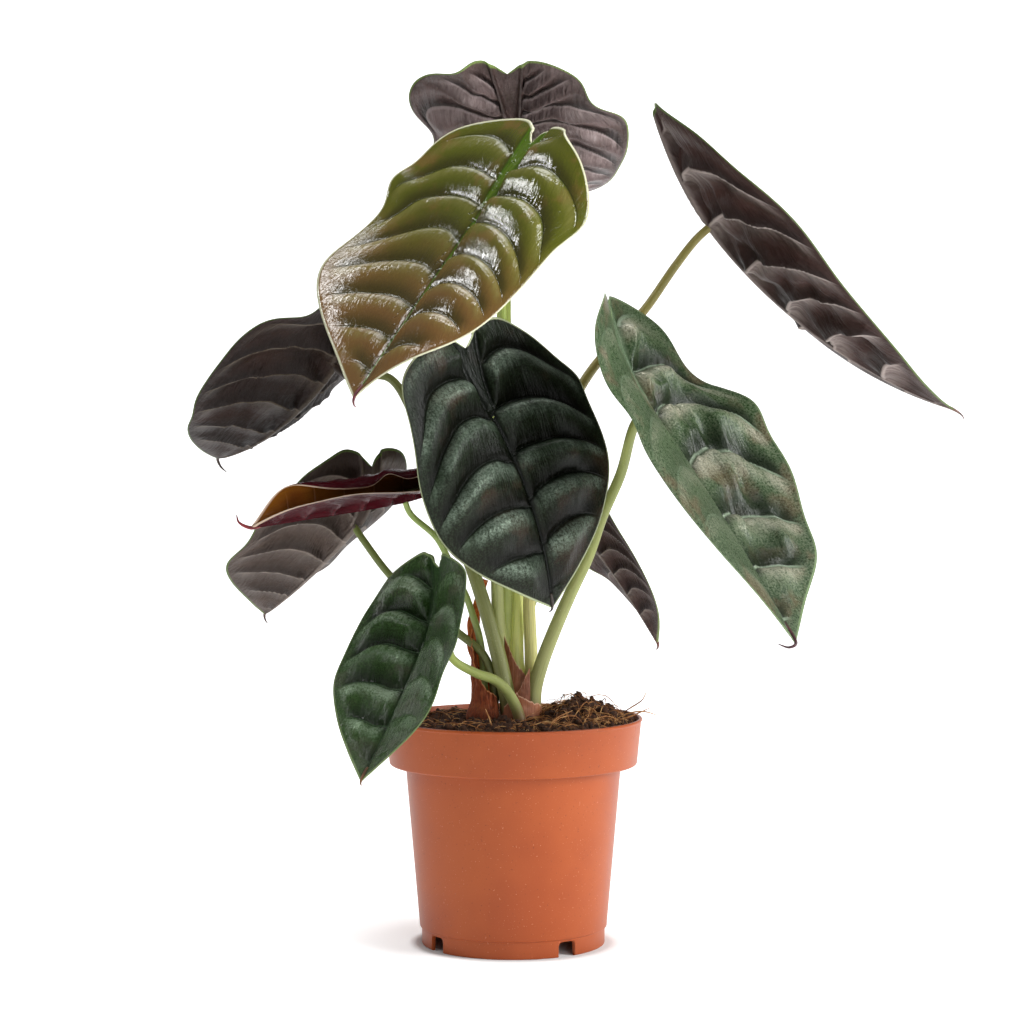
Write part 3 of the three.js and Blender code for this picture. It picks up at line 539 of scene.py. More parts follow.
def stalk_finish(name, low, high, foot, neck, length):
    """Pale green skin: colour from base to top, lengthwise streaks from noise stretched along the
    stalk, small pale dots, and a foot and a neck of their own colour up to or from a height."""
    finish, shade, place = new_finish("stalk skin " + name)
    up, round_it, _ = shade.node("UVMap", uv_map="flat").split()
    thread = shade.node("CombineXYZ", {0: up * 0.02, 1: round_it * 9, 2: 0.0})
    streaks = thread.noise(3.0, 4.0, 0.6)
    dots = place.noise(1500.0, 1.0).rise(0.68, 0.74)
    tint = up.rise(15.0, length * 0.75).blend(color(*low), color(*high))
    tint = coated(tint, (streaks.rise(0.42, 0.75), (*(0.72 * np.array(high)), 0.45)),
                  (dots, (214, 220, 176, 0.3)), (up.rise(foot[1], 0.45 * foot[1]), foot[0]),
                  (up.rise(length - 24, length - 14), neck))
    glow = {"Subsurface Weight": 0.12, "Subsurface Radius": (0.004, 0.005, 0.002), "Subsurface Scale": 0.4}
    surface(shade, tint, 0.36 + streaks * 0.14, glow, [(streaks, 0.0004, 0.35)])
    return finish


for name, ((base, top), points, low, high) in STALKS.items():
    foot = ((186, 128, 96), 14.0) if name == "high_right" else ((112, 82, 52), 26.0)
    neck = (58, 44, 36) if name == "upper_left" else high
    seat, up = np.array(SEATS[name][0], float), blade_axes(name)[2]
    coming = seat - points[-1]
    coming = coming / np.linalg.norm(coming) + 1.5 * up
    coming /= np.linalg.norm(coming)
    route = [(*points[0][:2], ROOT), *points, seat - 10 * coming, seat - 0.9 * up]
    route = smooth_route(route, STALK_STEPS)
    t = np.linspace(0, 1, STALK_STEPS)
    radii = top + (base - top) * (1 - t) ** 1.25
    skin = stalk_finish(name, low, high, foot, neck, lengths(route)[-1])
    stalk = add_piece("stalk_of_" + name, [tube(route, radii, 20)], [skin])
    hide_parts("stalk_" + name)


# The sheaths
# Leaf bases that once wrapped the two shoots, left standing round their foot: papery and dry red
# brown on the left shoot, thin and fleshy pinkish brown on the right. A crinkled orange strip has
# dried between the left stalks, beside the short brown stump of an old leaf.

# Centre, radius at the base and top, angles from and to, base, height of the torn edge at even
# steps, crinkle, and the colours of the sheet and its edge.
SHEATHS = {
    "sheath_collar_right": (
        (3.3, 3), (10.3, 9.7), (-160, 15), 96, (108, 112, 117.5, 114.5, 112, 110.5, 108), 0.25,
        (172, 108, 76), (216, 172, 142), "sheath_fleshy"),
    "sheath_wing_right": (
        (3.6, 4), (8.9, 8.6), (-118, -62), 104, (116, 118, 123, 128.5), 0.15,
        (138, 84, 60), (188, 138, 110), "sheath_fleshy"),
    "sheath_fleshy_right": (
        (2, 10.5), (9.2, 8.6), (-140, -52), 106, (144, 138, 131, 126, 122), 0.15,
        (146, 90, 60), (204, 160, 126), "sheath_fleshy"),
    "sheath_dry_left": (
        (-12.3, 4.8), (6.6, 7.2), (95, 305), 96, (121, 130, 147, 136, 124, 118, 115), 0.6,
        (156, 74, 36), (214, 138, 86), "sheath_dry"),
}
SHEATH_WALL = 0.7
STRIP = {
    "route": [(-10.1, 10, 96), (-12.5, 10.6, 118), (-16.6, 11.6, 132), (-18.8, 12.2, 142),
              (-18, 11.8, 153), (-13, 9.6, 169)],
    "wide": (2.8, 7.2, 2.8), "thick": 0.5,
}
STUMP = {"place": (-12.8, 2.2), "radii": (3.4, 2.4), "top": 117.0}
# Margin of a piece without a pale edge.
FAR_IN = 3.0


def from_edge(shade):
    """Millimetres from the edge, which the meshes of sheaths and blades carry as margin."""
    return shade.node("Attribute", out="Fac", attribute_name="margin")


def papery(name, sheet, edge_tint, gloss, coarse):
    """Dry or fleshy leaf tissue: lengthwise fibres from noise squeezed across the sheet, blotches,
    darker low down by the soil, and a paler torn edge."""
    finish, shade, place = new_finish(name)
    x, y, z = place.split()
    tall = shade.node("CombineXYZ", {0: x, 1: y, 2: z * 0.12})
    fibre_lines = tall.noise(1400.0, 4.0, 0.65)
    blotch = place.noise(260.0, 3.0)
    rim = from_edge(shade)
    sheet, edge_tint = np.array(sheet), np.array(edge_tint)
    tint = fibre_lines.rise(0.25, 0.65).blend(color(*((0.95 - 0.4 * coarse) * sheet)), color(*sheet))
    tint = coated(tint, (blotch.rise(0.45, 0.75), (*(sheet * 0.5 + edge_tint * 0.5), 0.6)),
                  (z.rise(0.112, 0.1), (58, 36, 26, 0.75)), (rim.rise(0.9, 0.2), (*edge_tint, 0.8)))
    glow = {"Subsurface Weight": 0.15, "Subsurface Radius": (0.003, 0.0015, 0.001), "Subsurface Scale": 0.4}
    surface(shade, tint, gloss + fibre_lines * 0.2, glow | {"Specular IOR Level": 0.25},
            [(fibre_lines, 0.0005, coarse), (blotch, 0.0008, 0.4)])
    return finish


def wrapped(outer, inner):
    """Columns over the outer face, back over the inner one and on to where they began."""
    return np.hstack([outer, inner[:, ::-1], outer[:, :1]])


def closed_sheet(outer, inner):
    """The two faces wrapped, with both ends drawn together half way between them."""
    middle = (outer + inner) / 2
    end = wrapped(middle, middle)
    return np.vstack([end[:1], wrapped(outer, inner), end[-1:]])


for name, (centre, radii, angles, base, tops, crinkle, sheet, edge_tint, slot) in SHEATHS.items():
    t = np.linspace(0, 1, 121)[None, :]
    u = np.linspace(0, 1, 61)[:, None]
    angle = np.radians(angles[0] + (angles[1] - angles[0]) * t)
    torn = np.interp(t[0], np.linspace(0, 1, len(tops)), tops)
    for size, rise, first, seed in ((5.0, 0.7, 0, 21), (1.8, 0.4, 9, 22)):
        torn = torn + rise * smooth_noise(t[0] * 100, t[0] * 0 + first, size, seed)
    height = base + (torn - base) * u
    ripple = smooth_noise(t * 60, height * 0.35, 3.5, 23)
    ripple = ripple + 0.6 * smooth_noise(t * 90, height * 0.8, 2.0, 24)
    flare = np.exp(-((height - 104) / 7) ** 2) * (2.8 if slot == "sheath_dry" else 0.0)
    middle = radii[0] + (radii[1] - radii[0]) * u + crinkle * ripple * u + flare
    faces = []
    for side in (0.5, -0.5):
        reach = middle + side * SHEATH_WALL * (1 - 0.6 * u ** 4)
        faces.append(turned(reach, height, angle) + [*centre, 0])
    rim = np.minimum(torn - height, 3 + 0 * height)
    coarse, gloss = (0.8, 0.5) if slot == "sheath_dry" else (0.3, 0.4)
    finish = papery(name, sheet, edge_tint, gloss, coarse)
    grids = [{"points": closed_sheet(*faces), "margin": closed_sheet(rim, rim)}]
    piece = add_piece(name + "_skin", grids, [finish])
    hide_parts(name)

route = smooth_route(STRIP["route"], 90)
t = np.linspace(0, 1, 90)[:, None]
c = np.linspace(-1, 1, 13)[None, :]
wide = np.interp(t, (0, 0.5, 1), STRIP["wide"]) / 2
wave = (0.5 * np.sin(24 * t + 2 * c) + 0.35 * np.sin(61 * t - 3 * c)) * np.minimum(1, 4 * t)
across = c * wide * (1 + 0.15 * np.sin(37 * t))
faces = []
for side in (0.5, -0.5):
    lift = wave + side * STRIP["thick"] + 0.5 * c ** 2
    faces.append(route[:, None] + np.stack([across, lift, 0.5 * np.sin(30 * t) * c], -1))
strip = add_piece("dried_strip", [{"points": closed_sheet(*faces), "margin": FAR_IN}],
                  [papery("dried strip", (214, 112, 48), (236, 166, 98), 0.5, 0.8)])
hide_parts("sheath_dry_strip")

t = np.linspace(0, 1, 40)
x, y = STUMP["place"]
route = np.stack([x + 0.4 * np.sin(5 * t), y + 0 * t, ROOT + (STUMP["top"] - ROOT) * t], -1)
low, high = STUMP["radii"]
radii = low + (high - low) * t - 0.5 * np.exp(-((1 - t) / 0.03) ** 2) + 0.12 * np.sin(40 * t)
stump = add_piece("old_stump", [tube(route, radii, 20) | {"margin": FAR_IN}],
                  [papery("old stump", (104, 66, 46), (150, 110, 80), 0.7, 0.9)])
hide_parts("stump_left")


# The blades
# Ten stiff shield-shaped leaves. The midrib and the side veins are sunk into the upper face, the
# panels between them bulge like a quilt, and below they stand up as ribs. Two veins run back from
# the stalk into the base lobes. A thin pale margin runs round to a drawn-out tip.

# Half outline at even steps from the notch to the tip: distance from the midrib in half widths,
# then the places of the edge and of the midrib in blade lengths.
OUTLINE = np.array([
    (0, 0.07, 0.07), (0.24, 0.01, 0.13), (0.54, 0.02, 0.19), (0.82, 0.1, 0.245), (0.97, 0.23, 0.3),
    (1, 0.37, 0.37), (0.96, 0.51, 0.45), (0.85, 0.645, 0.545), (0.64, 0.775, 0.655), (0.34, 0.89, 0.79),
    (0, 1, 1),
])
STALK_PLACE = 0.3
# Length, width, droop ahead and behind, sweep, twist; fold, cup and curl of the left and right
# half; the waves as side, place, spread, outward, upward; the tail's end from the tip.
BLADES = {
    "upper_left": ((169, 111), (-31, -10), -9, 5, (4, 14), (21, 18), (0, 0), [
        (1, 0.28, 0.05, -3, -5.5), (1, 0.69, 0.05, -1.5, -1), (-1, 0.72, 0.08, -1, 3)], (4.5, 0, -7)),
    "mid_right": ((191, 98), (3, 32), -20, 13, (8, 14), (44, -31), (0, 0), [
        (1, 0.15, 0.11, -4, -8), (1, 0.39, 0.07, -2, -3), (1, 0.5, 0.05, 3.5, 4.5),
        (1, 0.62, 0.1, 3.5, 3.5), (1, 0.8, 0.07, 4, 4), (-1, 0.21, 0.08, -1, 2.5),
        (-1, 0.51, 0.05, -1, 2)], (-7.5, 0, 0)),
    "low_front": ((113, 73), (-11, 36), 8, -21, (20, 17), (-22, 13), (0, 0), [
        (1, 0.27, 0.07, 1.5, -3.5), (1, 0.46, 0.08, -1, 1.5), (1, 0.63, 0.09, -2, 2.5),
        (-1, 0.18, 0.08, -3, -3), (-1, 0.69, 0.08, 1, 1)], (0.5, 0, -1.5)),
    "centre": ((136, 104), (42, 27), 4, 11, (-2, 10), (6, -32), (0, 0), [
        (1, 0.26, 0.09, -2, -2), (1, 0.45, 0.05, 1.5, 1.5), (1, 0.67, 0.09, 1, 1),
        (-1, 0.17, 0.06, -0.5, 2), (-1, 0.41, 0.1, -5, 3.5), (-1, 0.71, 0.13, 4, -0.5)], (-1.5, 0, -1.5)),
    "high_right": ((210, 101), (-32, 20), 2, -13, (7, -2), (4, 43), (0, 0), [
        (1, 0.49, 0.04, 0, -3.5), (-1, 0.2, 0.08, -1.5, -3.5), (-1, 0.5, 0.12, 2.5, 3.5)], (4, 0, -4)),
    "top_back": ((163, 100), (-44, 2), -3, -7, (-5, 3), (11, -7), (0, 0), [
        (1, 0.19, 0.06, -4, -10.5), (1, 0.34, 0.08, 4, 1), (1, 0.49, 0.07, -9, 3), (-1, 0.2, 0.11, -2, -4),
        (-1, 0.34, 0.06, -5, -5.5), (-1, 0.44, 0.06, 3, 3), (-1, 0.52, 0.09, 4, 1)], (0, 4, -5)),
    "top_front": ((162, 98), (-5, 1), 21, -4, (7, 14), (-72, 28), (0, 0), [
        (1, 0.21, 0.04, -4, 2.5), (1, 0.38, 0.08, 4, -4), (1, 0.78, 0.1, 0.5, -2.5),
        (-1, 0.18, 0.08, -0.5, -3), (-1, 0.35, 0.08, 2, 2.5), (-1, 0.46, 0.04, 3, 3),
        (-1, 0.71, 0.12, 8, 8.5)], (1, 0, -3.5)),
    "small_right": ((101, 57), (9, 21), -2, 9, (17, 15), (-33, -22), (0, 0), [
        (1, 0.65, 0.05, 2, -3)], (-1, 0, -3)),
    "mid_left": ((140, 80), (-15, 62), -15, -8, (28, 22), (-5, -17), (0, 0), [
        (1, 0.21, 0.09, -4, -2.5), (1, 0.51, 0.07, 2, 1.5), (1, 0.73, 0.11, 7.5, 3),
        (-1, 0.19, 0.07, 2.5, -2.5), (-1, 0.38, 0.08, -2, 2.5), (-1, 0.79, 0.06, -0.5, -3.5)],
        (1.5, 0, -4.5)),
    "young_left": ((102, 57), (2, 11), -5, 19, (37, 80), (-7, 82), (5, 107), [
        (1, 0.6, 0.1, 0, 1.5), (-1, 0.36, 0.09, -1.5, 2), (-1, 0.49, 0.04, -3, 4.5),
        (-1, 0.83, 0.12, 4.5, 8)], (-6.5, 0, 6)),
}
# How high the panels bulge on the left and right half, where the first vein of each half leaves the
# midrib and how far apart they are, in blade lengths, how much closer they stand behind the stalk,
# how much of the bulging is crumpled, and the rows and columns of a half.
RELIEF = {
    "upper_left": ((4.6, 4.6), (0.07, 0), 0.14, 0.3, 0.25, 150, 50),
    "mid_right": ((7.4, 0.7), (0.03, 0.1), 0.15, 0.3, 0.6, 170, 56),
    "low_front": ((1.0, 5.6), (0.1, 0.12), 0.165, 0.3, 0.25, 130, 46),
    "centre": ((6.2, 5.4), (0.0, 0.025), 0.155, 0.1, 0.15, 150, 54),
    "high_right": ((3.2, 5.2), (0.07, 0), 0.13, 0.3, 0.8, 170, 50),
    "top_back": ((-6.0, -6.0), (0.03, 0.0), 0.13, 1.2, 0.25, 150, 52),
    "top_front": ((2.8, 1.7), (0.06, 0), 0.12, 0.3, 0.1, 160, 56),
    "small_right": ((1.5, 1.5), (0.07, 0), 0.13, 0.3, 0.1, 110, 36),
    "mid_left": ((3.4, 3.4), (0.07, 0), 0.14, 0.3, 0.2, 130, 44),
    "young_left": ((0.3, 0.3), (0.07, 0), 0.13, 0.3, 0.1, 120, 44),
}
# Thickness, how square the edge is, how closely the columns stand to it, where the tail begins
# in blade lengths, and the steps in which curves are summed up.
BLADE_THICK = 0.7
EDGE_POWER = 24
COLUMN_POWER = 1.15
TAIL_START = 0.975
STEPS = 24


def outline(s):
    """Cubic curve through OUTLINE, whose slope in each row is that between its two neighbours."""
    rows = mirrored(OUTLINE)
    place = s * (len(OUTLINE) - 1)
    i = np.minimum(place.astype(int), len(OUTLINE) - 2)
    f = (place - i)[:, None]
    a, b, c, d = (rows[i + k] for k in range(4))
    return 0.5 * (2 * b + (c - a) * f + (2 * a - 5 * b + 4 * c - d) * f**2 + (3 * b - a - 3 * c + d) * f**3)


def midrib(blade, distance):
    """Place and axes of the midrib at a distance from the stalk: the directions, which droop,
    sweep and twist in proportion to the distance, are summed up in steps."""
    (long, _), droop, sweep, twist = blade[:4]
    ahead, behind = long * (1 - STALK_PLACE), long * STALK_PLACE

    def angles(d):
        """Droop, sweep and twist at a distance, as shares of those at the tip or the notch."""
        return (np.radians(np.where(d > 0, droop[0] * d / ahead, -droop[1] * d / behind)),
                np.radians(sweep * d / ahead), np.radians(twist * d / ahead))

    b, g, _ = angles(distance[..., None] * (np.arange(STEPS) + 0.5) / STEPS)
    steps = np.stack([np.cos(g) * np.cos(b), np.sin(g), -np.cos(g) * np.sin(b)], -2)
    place = (steps * (distance / STEPS)[..., None, None]).sum(-1)
    b, g, t = angles(distance)
    side = np.stack([-np.sin(g) * np.cos(b), np.cos(g), np.sin(g) * np.sin(b)], -1)
    up = np.stack([np.sin(b), 0 * b, np.cos(b)], -1)
    cos_t, sin_t = np.cos(t)[..., None], np.sin(t)[..., None]
    return place, side * cos_t + up * sin_t, up * cos_t - side * sin_t


def vein_count(across, along, step, fan):
    """Number of side veins passed on the way to the tip. A vein leaves the midrib a little
    backwards and the cube of the distance bends it forward, until it runs along the edge. Behind
    the stalk the veins stand closer by the fan near the midrib, so that they spread outwards."""
    back = (abs(along) - along) * 0.5
    spread = fan * back * (1 - 1.5 * across)
    return (along - spread + across * (0.1 - 0.28 * across * across)) / step


def stillness(s):
    """Root of the sine, which takes waves and bulges to nothing at the notch and the tip."""
    return np.sqrt(np.clip(np.sin(np.pi * s), 0, 1))


def blade_sheet(name, s, v):
    """Middle face of a blade for rows s, from notch to tip, and v, from midrib to edge: the left
    and right halves lift by fold + cup x distance + curl x v^5, summed up in steps."""
    blade = BLADES[name]
    long, wide = blade[0]
    rows = outline(s)
    q = np.linspace(0, 1, STEPS + 1)
    halves = []
    for side, fold, cup, curl in zip((1, -1), *blade[4:7]):
        out, up = 0 * s, 0 * s
        for half, at, width, outward, upward in blade[7]:
            share = np.exp(-(((s - at) / width) ** 2)) * stillness(s) * (half == side)
            out, up = out + outward * share, up + upward * share
        reach = rows[:, :1] * wide / 2 * q + out[:, None] * q ** 1.5
        angle = np.radians(fold + cup * reach / (wide / 2) + curl * q ** 5)
        step, angle = np.diff(reach, axis=1), (angle[:, 1:] + angle[:, :-1]) / 2
        flat, lift = (np.stack([np.interp(v, q, np.append(0, row)) for row in np.cumsum(part * step, 1)])
                      for part in (np.cos(angle), np.sin(angle)))
        lift += up[:, None] * v ** 3
        along = (rows[:, 2:] + (rows[:, 1:2] - rows[:, 2:]) * v ** 1.8 - STALK_PLACE) * long
        place, left, normal = midrib(blade, along)
        local = place + side * flat[..., None] * left + lift[..., None] * normal
        halves.append((local @ blade_axes(name) + SEATS[name][0], side * rows[:, :1] * v, along / long))
    return [np.hstack([right[:, :0:-1], left]) for left, right in zip(*halves)]


def grid_normal(points):
    """Unit normals of a grid from the cross product of its central differences."""
    normal = np.cross(np.gradient(points, axis=0), np.gradient(points, axis=1))
    normal[0], normal[-1] = normal[1], normal[-2]
    return normal / np.maximum(np.linalg.norm(normal, axis=-1, keepdims=True), 1e-9)


def eased(value, low, high):
    """Smooth step from 0 at low to 1 at high."""
    t = np.clip((value - low) / (high - low), 0, 1)
    return t * t * (3 - 2 * t)


def relief(name, across, along, w, seed):
    """Height of the upper face over the middle one: each panel rises steeply past its vein and
    sinks slowly to the next, veins are grooves, and the flat band behind the stalk stays level."""
    bulges, firsts, vein_step, fan, crumpled = RELIEF[name][:5]
    (long, wide), out = BLADES[name][0], np.abs(across)
    amount, first = (np.where(across > 0, *pair) for pair in (bulges, firsts))
    count = vein_count(out, along - first, vein_step, fan)
    part = count - np.floor(count)
    panel = np.sin(np.pi * part ** 0.62) ** 1.25
    one = np.floor(count) * 7.3 + np.sign(across) * 3.1
    panel *= 0.85 + 0.25 * np.sin(one) + 0.25 * np.sin(5.5 * out + one)
    costa = 0.045 + 0.42 * np.clip(-along, 0, 1)
    behind = eased(-along, -0.01, 0.03)
    beside = 1 - behind * (1 - eased(out, costa, costa + 0.06))
    inland = 1 - eased(np.abs(w), 0.6, 0.96)
    swell = beside * eased(out, 0.0, 0.22) * inland * (1 - eased(along, 0.5, 0.7) * 0.5)
    line = np.minimum(part, 1 - part) * vein_step * long
    groove = np.exp(-(line / 1.7) ** 2) * beside * inland * eased(out, 0.0, 0.1)
    groove *= (1 + 1.4 * np.exp(-((out - 0.1) / 0.07) ** 2)) * np.abs(amount) / max(np.abs(bulges))
    slim = 2.8 - 2.4 * np.clip(along, 0, 0.7)
    off_rib = np.where(behind > 0.5, (out - costa) * wide / 2 / 1.5, out * wide / 2 / slim)
    rib, lips = np.exp(-off_rib ** 2), np.exp(-(off_rib / 1.9) ** 2)
    across = across * wide / 2
    rough = smooth_noise(across, along * long, 9.0, seed) + smooth_noise(across, count * 8, 5.0, seed + 50)
    rise = amount * swell * (panel + 0.7 * crumpled * rough) - (0.3 + 0.1 * np.abs(amount)) * groove
    keel = behind * (1 - eased(out, 0, costa)) * 1.2
    return rise + keel - 2.2 * rib + 1.2 * lips, groove, rib


def drip_tip(name, tip, before):
    """The drawn-out end: a tapering tube along a short hooked route from inside the tip."""
    end = tip + np.array(BLADES[name][8], float)
    ahead = (tip - before) / np.linalg.norm(tip - before)
    halfway = (tip + end) / 2 + 0.25 * np.linalg.norm(end - tip) * ahead
    t = np.linspace(0, 1, 40)
    radii = 0.14 + 0.75 * np.sin(np.pi * np.minimum(1, 0.15 + 0.85 * t ** 0.7)) ** 0.8
    return tube(smooth_route([before, tip, halfway, end], 40), radii, 12)


def blade_lines(shade, name):
    """Masks that follow the blade, from its flat coordinates: the ribs, the side veins, where in
    its panel a point lies, and the distances across and along. A flatter half shows its veins less."""
    (left, right), (first_left, first_right), step, fan = RELIEF[name][:4]
    across, along, _ = shade.node("UVMap", uv_map="flat").split()
    out, is_left = abs(across), across.maths("GREATER_THAN", 0.0)
    count = vein_count(out, along - is_left * (first_left - first_right) - first_right, step, fan)
    part = count.maths("FRACT")
    line = part.maths("MINIMUM", 1 - part)
    costa = 0.045 + 0.21 * (abs(along) - along)
    behind = along.rise(0.01, -0.03)
    on_right, on_left = min(1.0, 2 * right / left), min(1.0, 2 * left / right)
    beside = (1 - behind * (out - costa).rise(0.06, 0.0)) * (is_left * (on_left - on_right) + on_right)
    inland = from_edge(shade).rise(1.0, 6.0)
    veins = line.rise(0.045, 0.01) * beside * inland
    rib = (1 - behind) * (out * (1 + along.rise(0.0, 0.7))).rise(0.04, 0.016)
    rib = rib.maths("MAXIMUM", behind * abs(out - costa).rise(0.03, 0.012))
    fold = line.rise(0.5, 0.0) * beside * inland * out.rise(0.0, 0.16)
    band = behind * (out - costa).rise(0.0, -0.02)
    # Small cross veins: noise drawn out from one side vein to the next, so that it streaks.
    wander = shade.node("CombineXYZ", {0: out * 26, 1: count * 1.6, 2: 0.0})
    streaks = wander.noise(1.0, 4.0, 0.65).rise(0.3, 0.7)
    return rib, veins, part, beside * inland, streaks, fold, out, along, line, band


def upper_finish(name, base, tip, turn, flush, shade_and_dark_grain, highlight_and_pale_grain, glint, side, costa, margin, gloss, skin):
    """Upper face: two tones that change from lobes to tip, painted shade before each vein and in pits
    by the midrib, a painted highlight just past each vein, cloudy bronze, a metallic bloom with a
    painted glint in fine grains and streaks, and ribs and a pale margin."""
    finish, shade, place = new_finish("upper face " + name)
    rib, veins, part, beside, streaks, _, out, along, line, band = blade_lines(shade, name)
    cloud = place.noise(45.0, 4.0, 0.6)
    grains = place.noise(1100.0, 2.0, 0.7)
    # Painted highlight: pale just past each vein, where the bulging panels face the light; the bloom lays a
    # painted glint and metal on it in grains and streaks.
    crest_highlight = part.rise(0.0, 0.08) * part.rise(0.5, 0.14) * beside * out.rise(0.0, 0.14)
    glint_and_metal = crest_highlight * cloud.rise(0.3, 0.62) * (0.35 * streaks + 0.65 * grains.rise(0.35, 0.65))
    # Painted shade: dark before each vein and in pits beside the midrib, where the panels slope away from
    # the light.
    pit_shade = line.rise(0.26, 0.04) * out.rise(0.28, 0.06)
    hollow_shade = part.rise(0.4, 0.92).maths("MAXIMUM", pit_shade) * beside
    tint = (along + cloud * 0.3).rise(*turn).blend(color(*base), color(*tip))
    # The dark and pale grains are the skin's own; the hollow and crest coats are painted shade and painted
    # highlight.
    tint = coated(tint, (cloud.rise(0.5, 0.64), flush),
                  (grains.rise(0.45, 0.65), (*highlight_and_pale_grain[:3], 0.5 * skin["grain"])),
                  (grains.rise(0.5, 0.35), (*shade_and_dark_grain[:3], 0.6 * skin["grain"])),
                  (hollow_shade, shade_and_dark_grain), (crest_highlight * (0.4 + 0.6 * streaks), highlight_and_pale_grain), (glint_and_metal, glint), (veins, side),
                  (rib.maths("MAXIMUM", band * 0.8), costa), (from_edge(shade).rise(0.7, 0.25), margin))
    beads = place.noise(330.0, 0.0).rise(0.64, 0.74) * out.rise(0.16, 0.04)
    surface(shade, tint, gloss + grains * 0.12 + cloud * 0.06,
            {"Metallic": glint_and_metal * skin["metal"], "Specular IOR Level": skin["shine"]},
            [(1 - veins, 0.0006, 0.6), (1 - rib, 0.0006, 0.5), (streaks, 0.0006, skin["net"]),
             (grains, 0.00025, skin["grain"]), (beads, 0.0015, skin["beads"])])
    return finish


def lower_finish(name, margin, base, ridge_and_highlight, flush, gloss, fold_bump_and_painted_light):
    """Underside: dull purple, with painted shade in the cups of the panels, raised ribs and cross
    veins paler, and paler streaks of painted highlight that hang from the side veins like a curtain."""
    finish, shade, place = new_finish("underside " + name)
    rib, veins, part, beside, streaks, fold = blade_lines(shade, name)[:6]
    cloud = place.noise(40.0, 4.0, 0.6)
    grains = place.noise(900.0, 2.0, 0.7)
    costa = ridge_and_highlight
    if RELIEF[name][0][0] < 0:
        costa, fold = 0.75 * np.array(base), 1 - fold
    # Painted shade in the cup before each vein, and a painted highlight broken into streaks just past it.
    tint = coated(cloud.rise(0.35, 0.7).blend(color(*base), color(*flush)),
                  (part.rise(0.55, 0.93) * beside, (*(0.55 * np.array(base)), fold_bump_and_painted_light)),
                  (part.rise(0.5, 0.0) * beside * (0.25 + 0.75 * streaks), (*ridge_and_highlight, fold_bump_and_painted_light)),
                  (veins, (*ridge_and_highlight, 0.85)), (rib, (*costa, 0.5)), (from_edge(shade).rise(0.8, 0.3), margin))
    surface(shade, tint, gloss + grains * 0.15, {"Specular IOR Level": 0.1 if gloss < 0.2 else 0.3},
            [(fold, 0.005, fold_bump_and_painted_light), (cloud, 0.006, 0.5), (rib, 0.0012, 0.7), (streaks, 0.001, 0.6)])
    return finish


def tip_finish(name, tint_a, tint_b):
    """The hooked end: one colour running into a darker one, with a light gloss."""
    finish, shade, place = new_finish("tip " + name)
    fade = place.noise(400.0, 2.0)
    surface(shade, fade.rise(0.35, 0.65).blend(color(*tint_a), color(*tint_b)), 0.35 + fade * 0.1)
    return finish


# The skin of the grown leaves, and that of the two young ones.
MATURE = {"metal": 0.6, "shine": 0.15, "net": 0.4, "grain": 0.9, "beads": 0.0}
DEWY = {"metal": 0.0, "shine": 1.0, "net": 0.3, "grain": 0.06, "beads": 0.8}
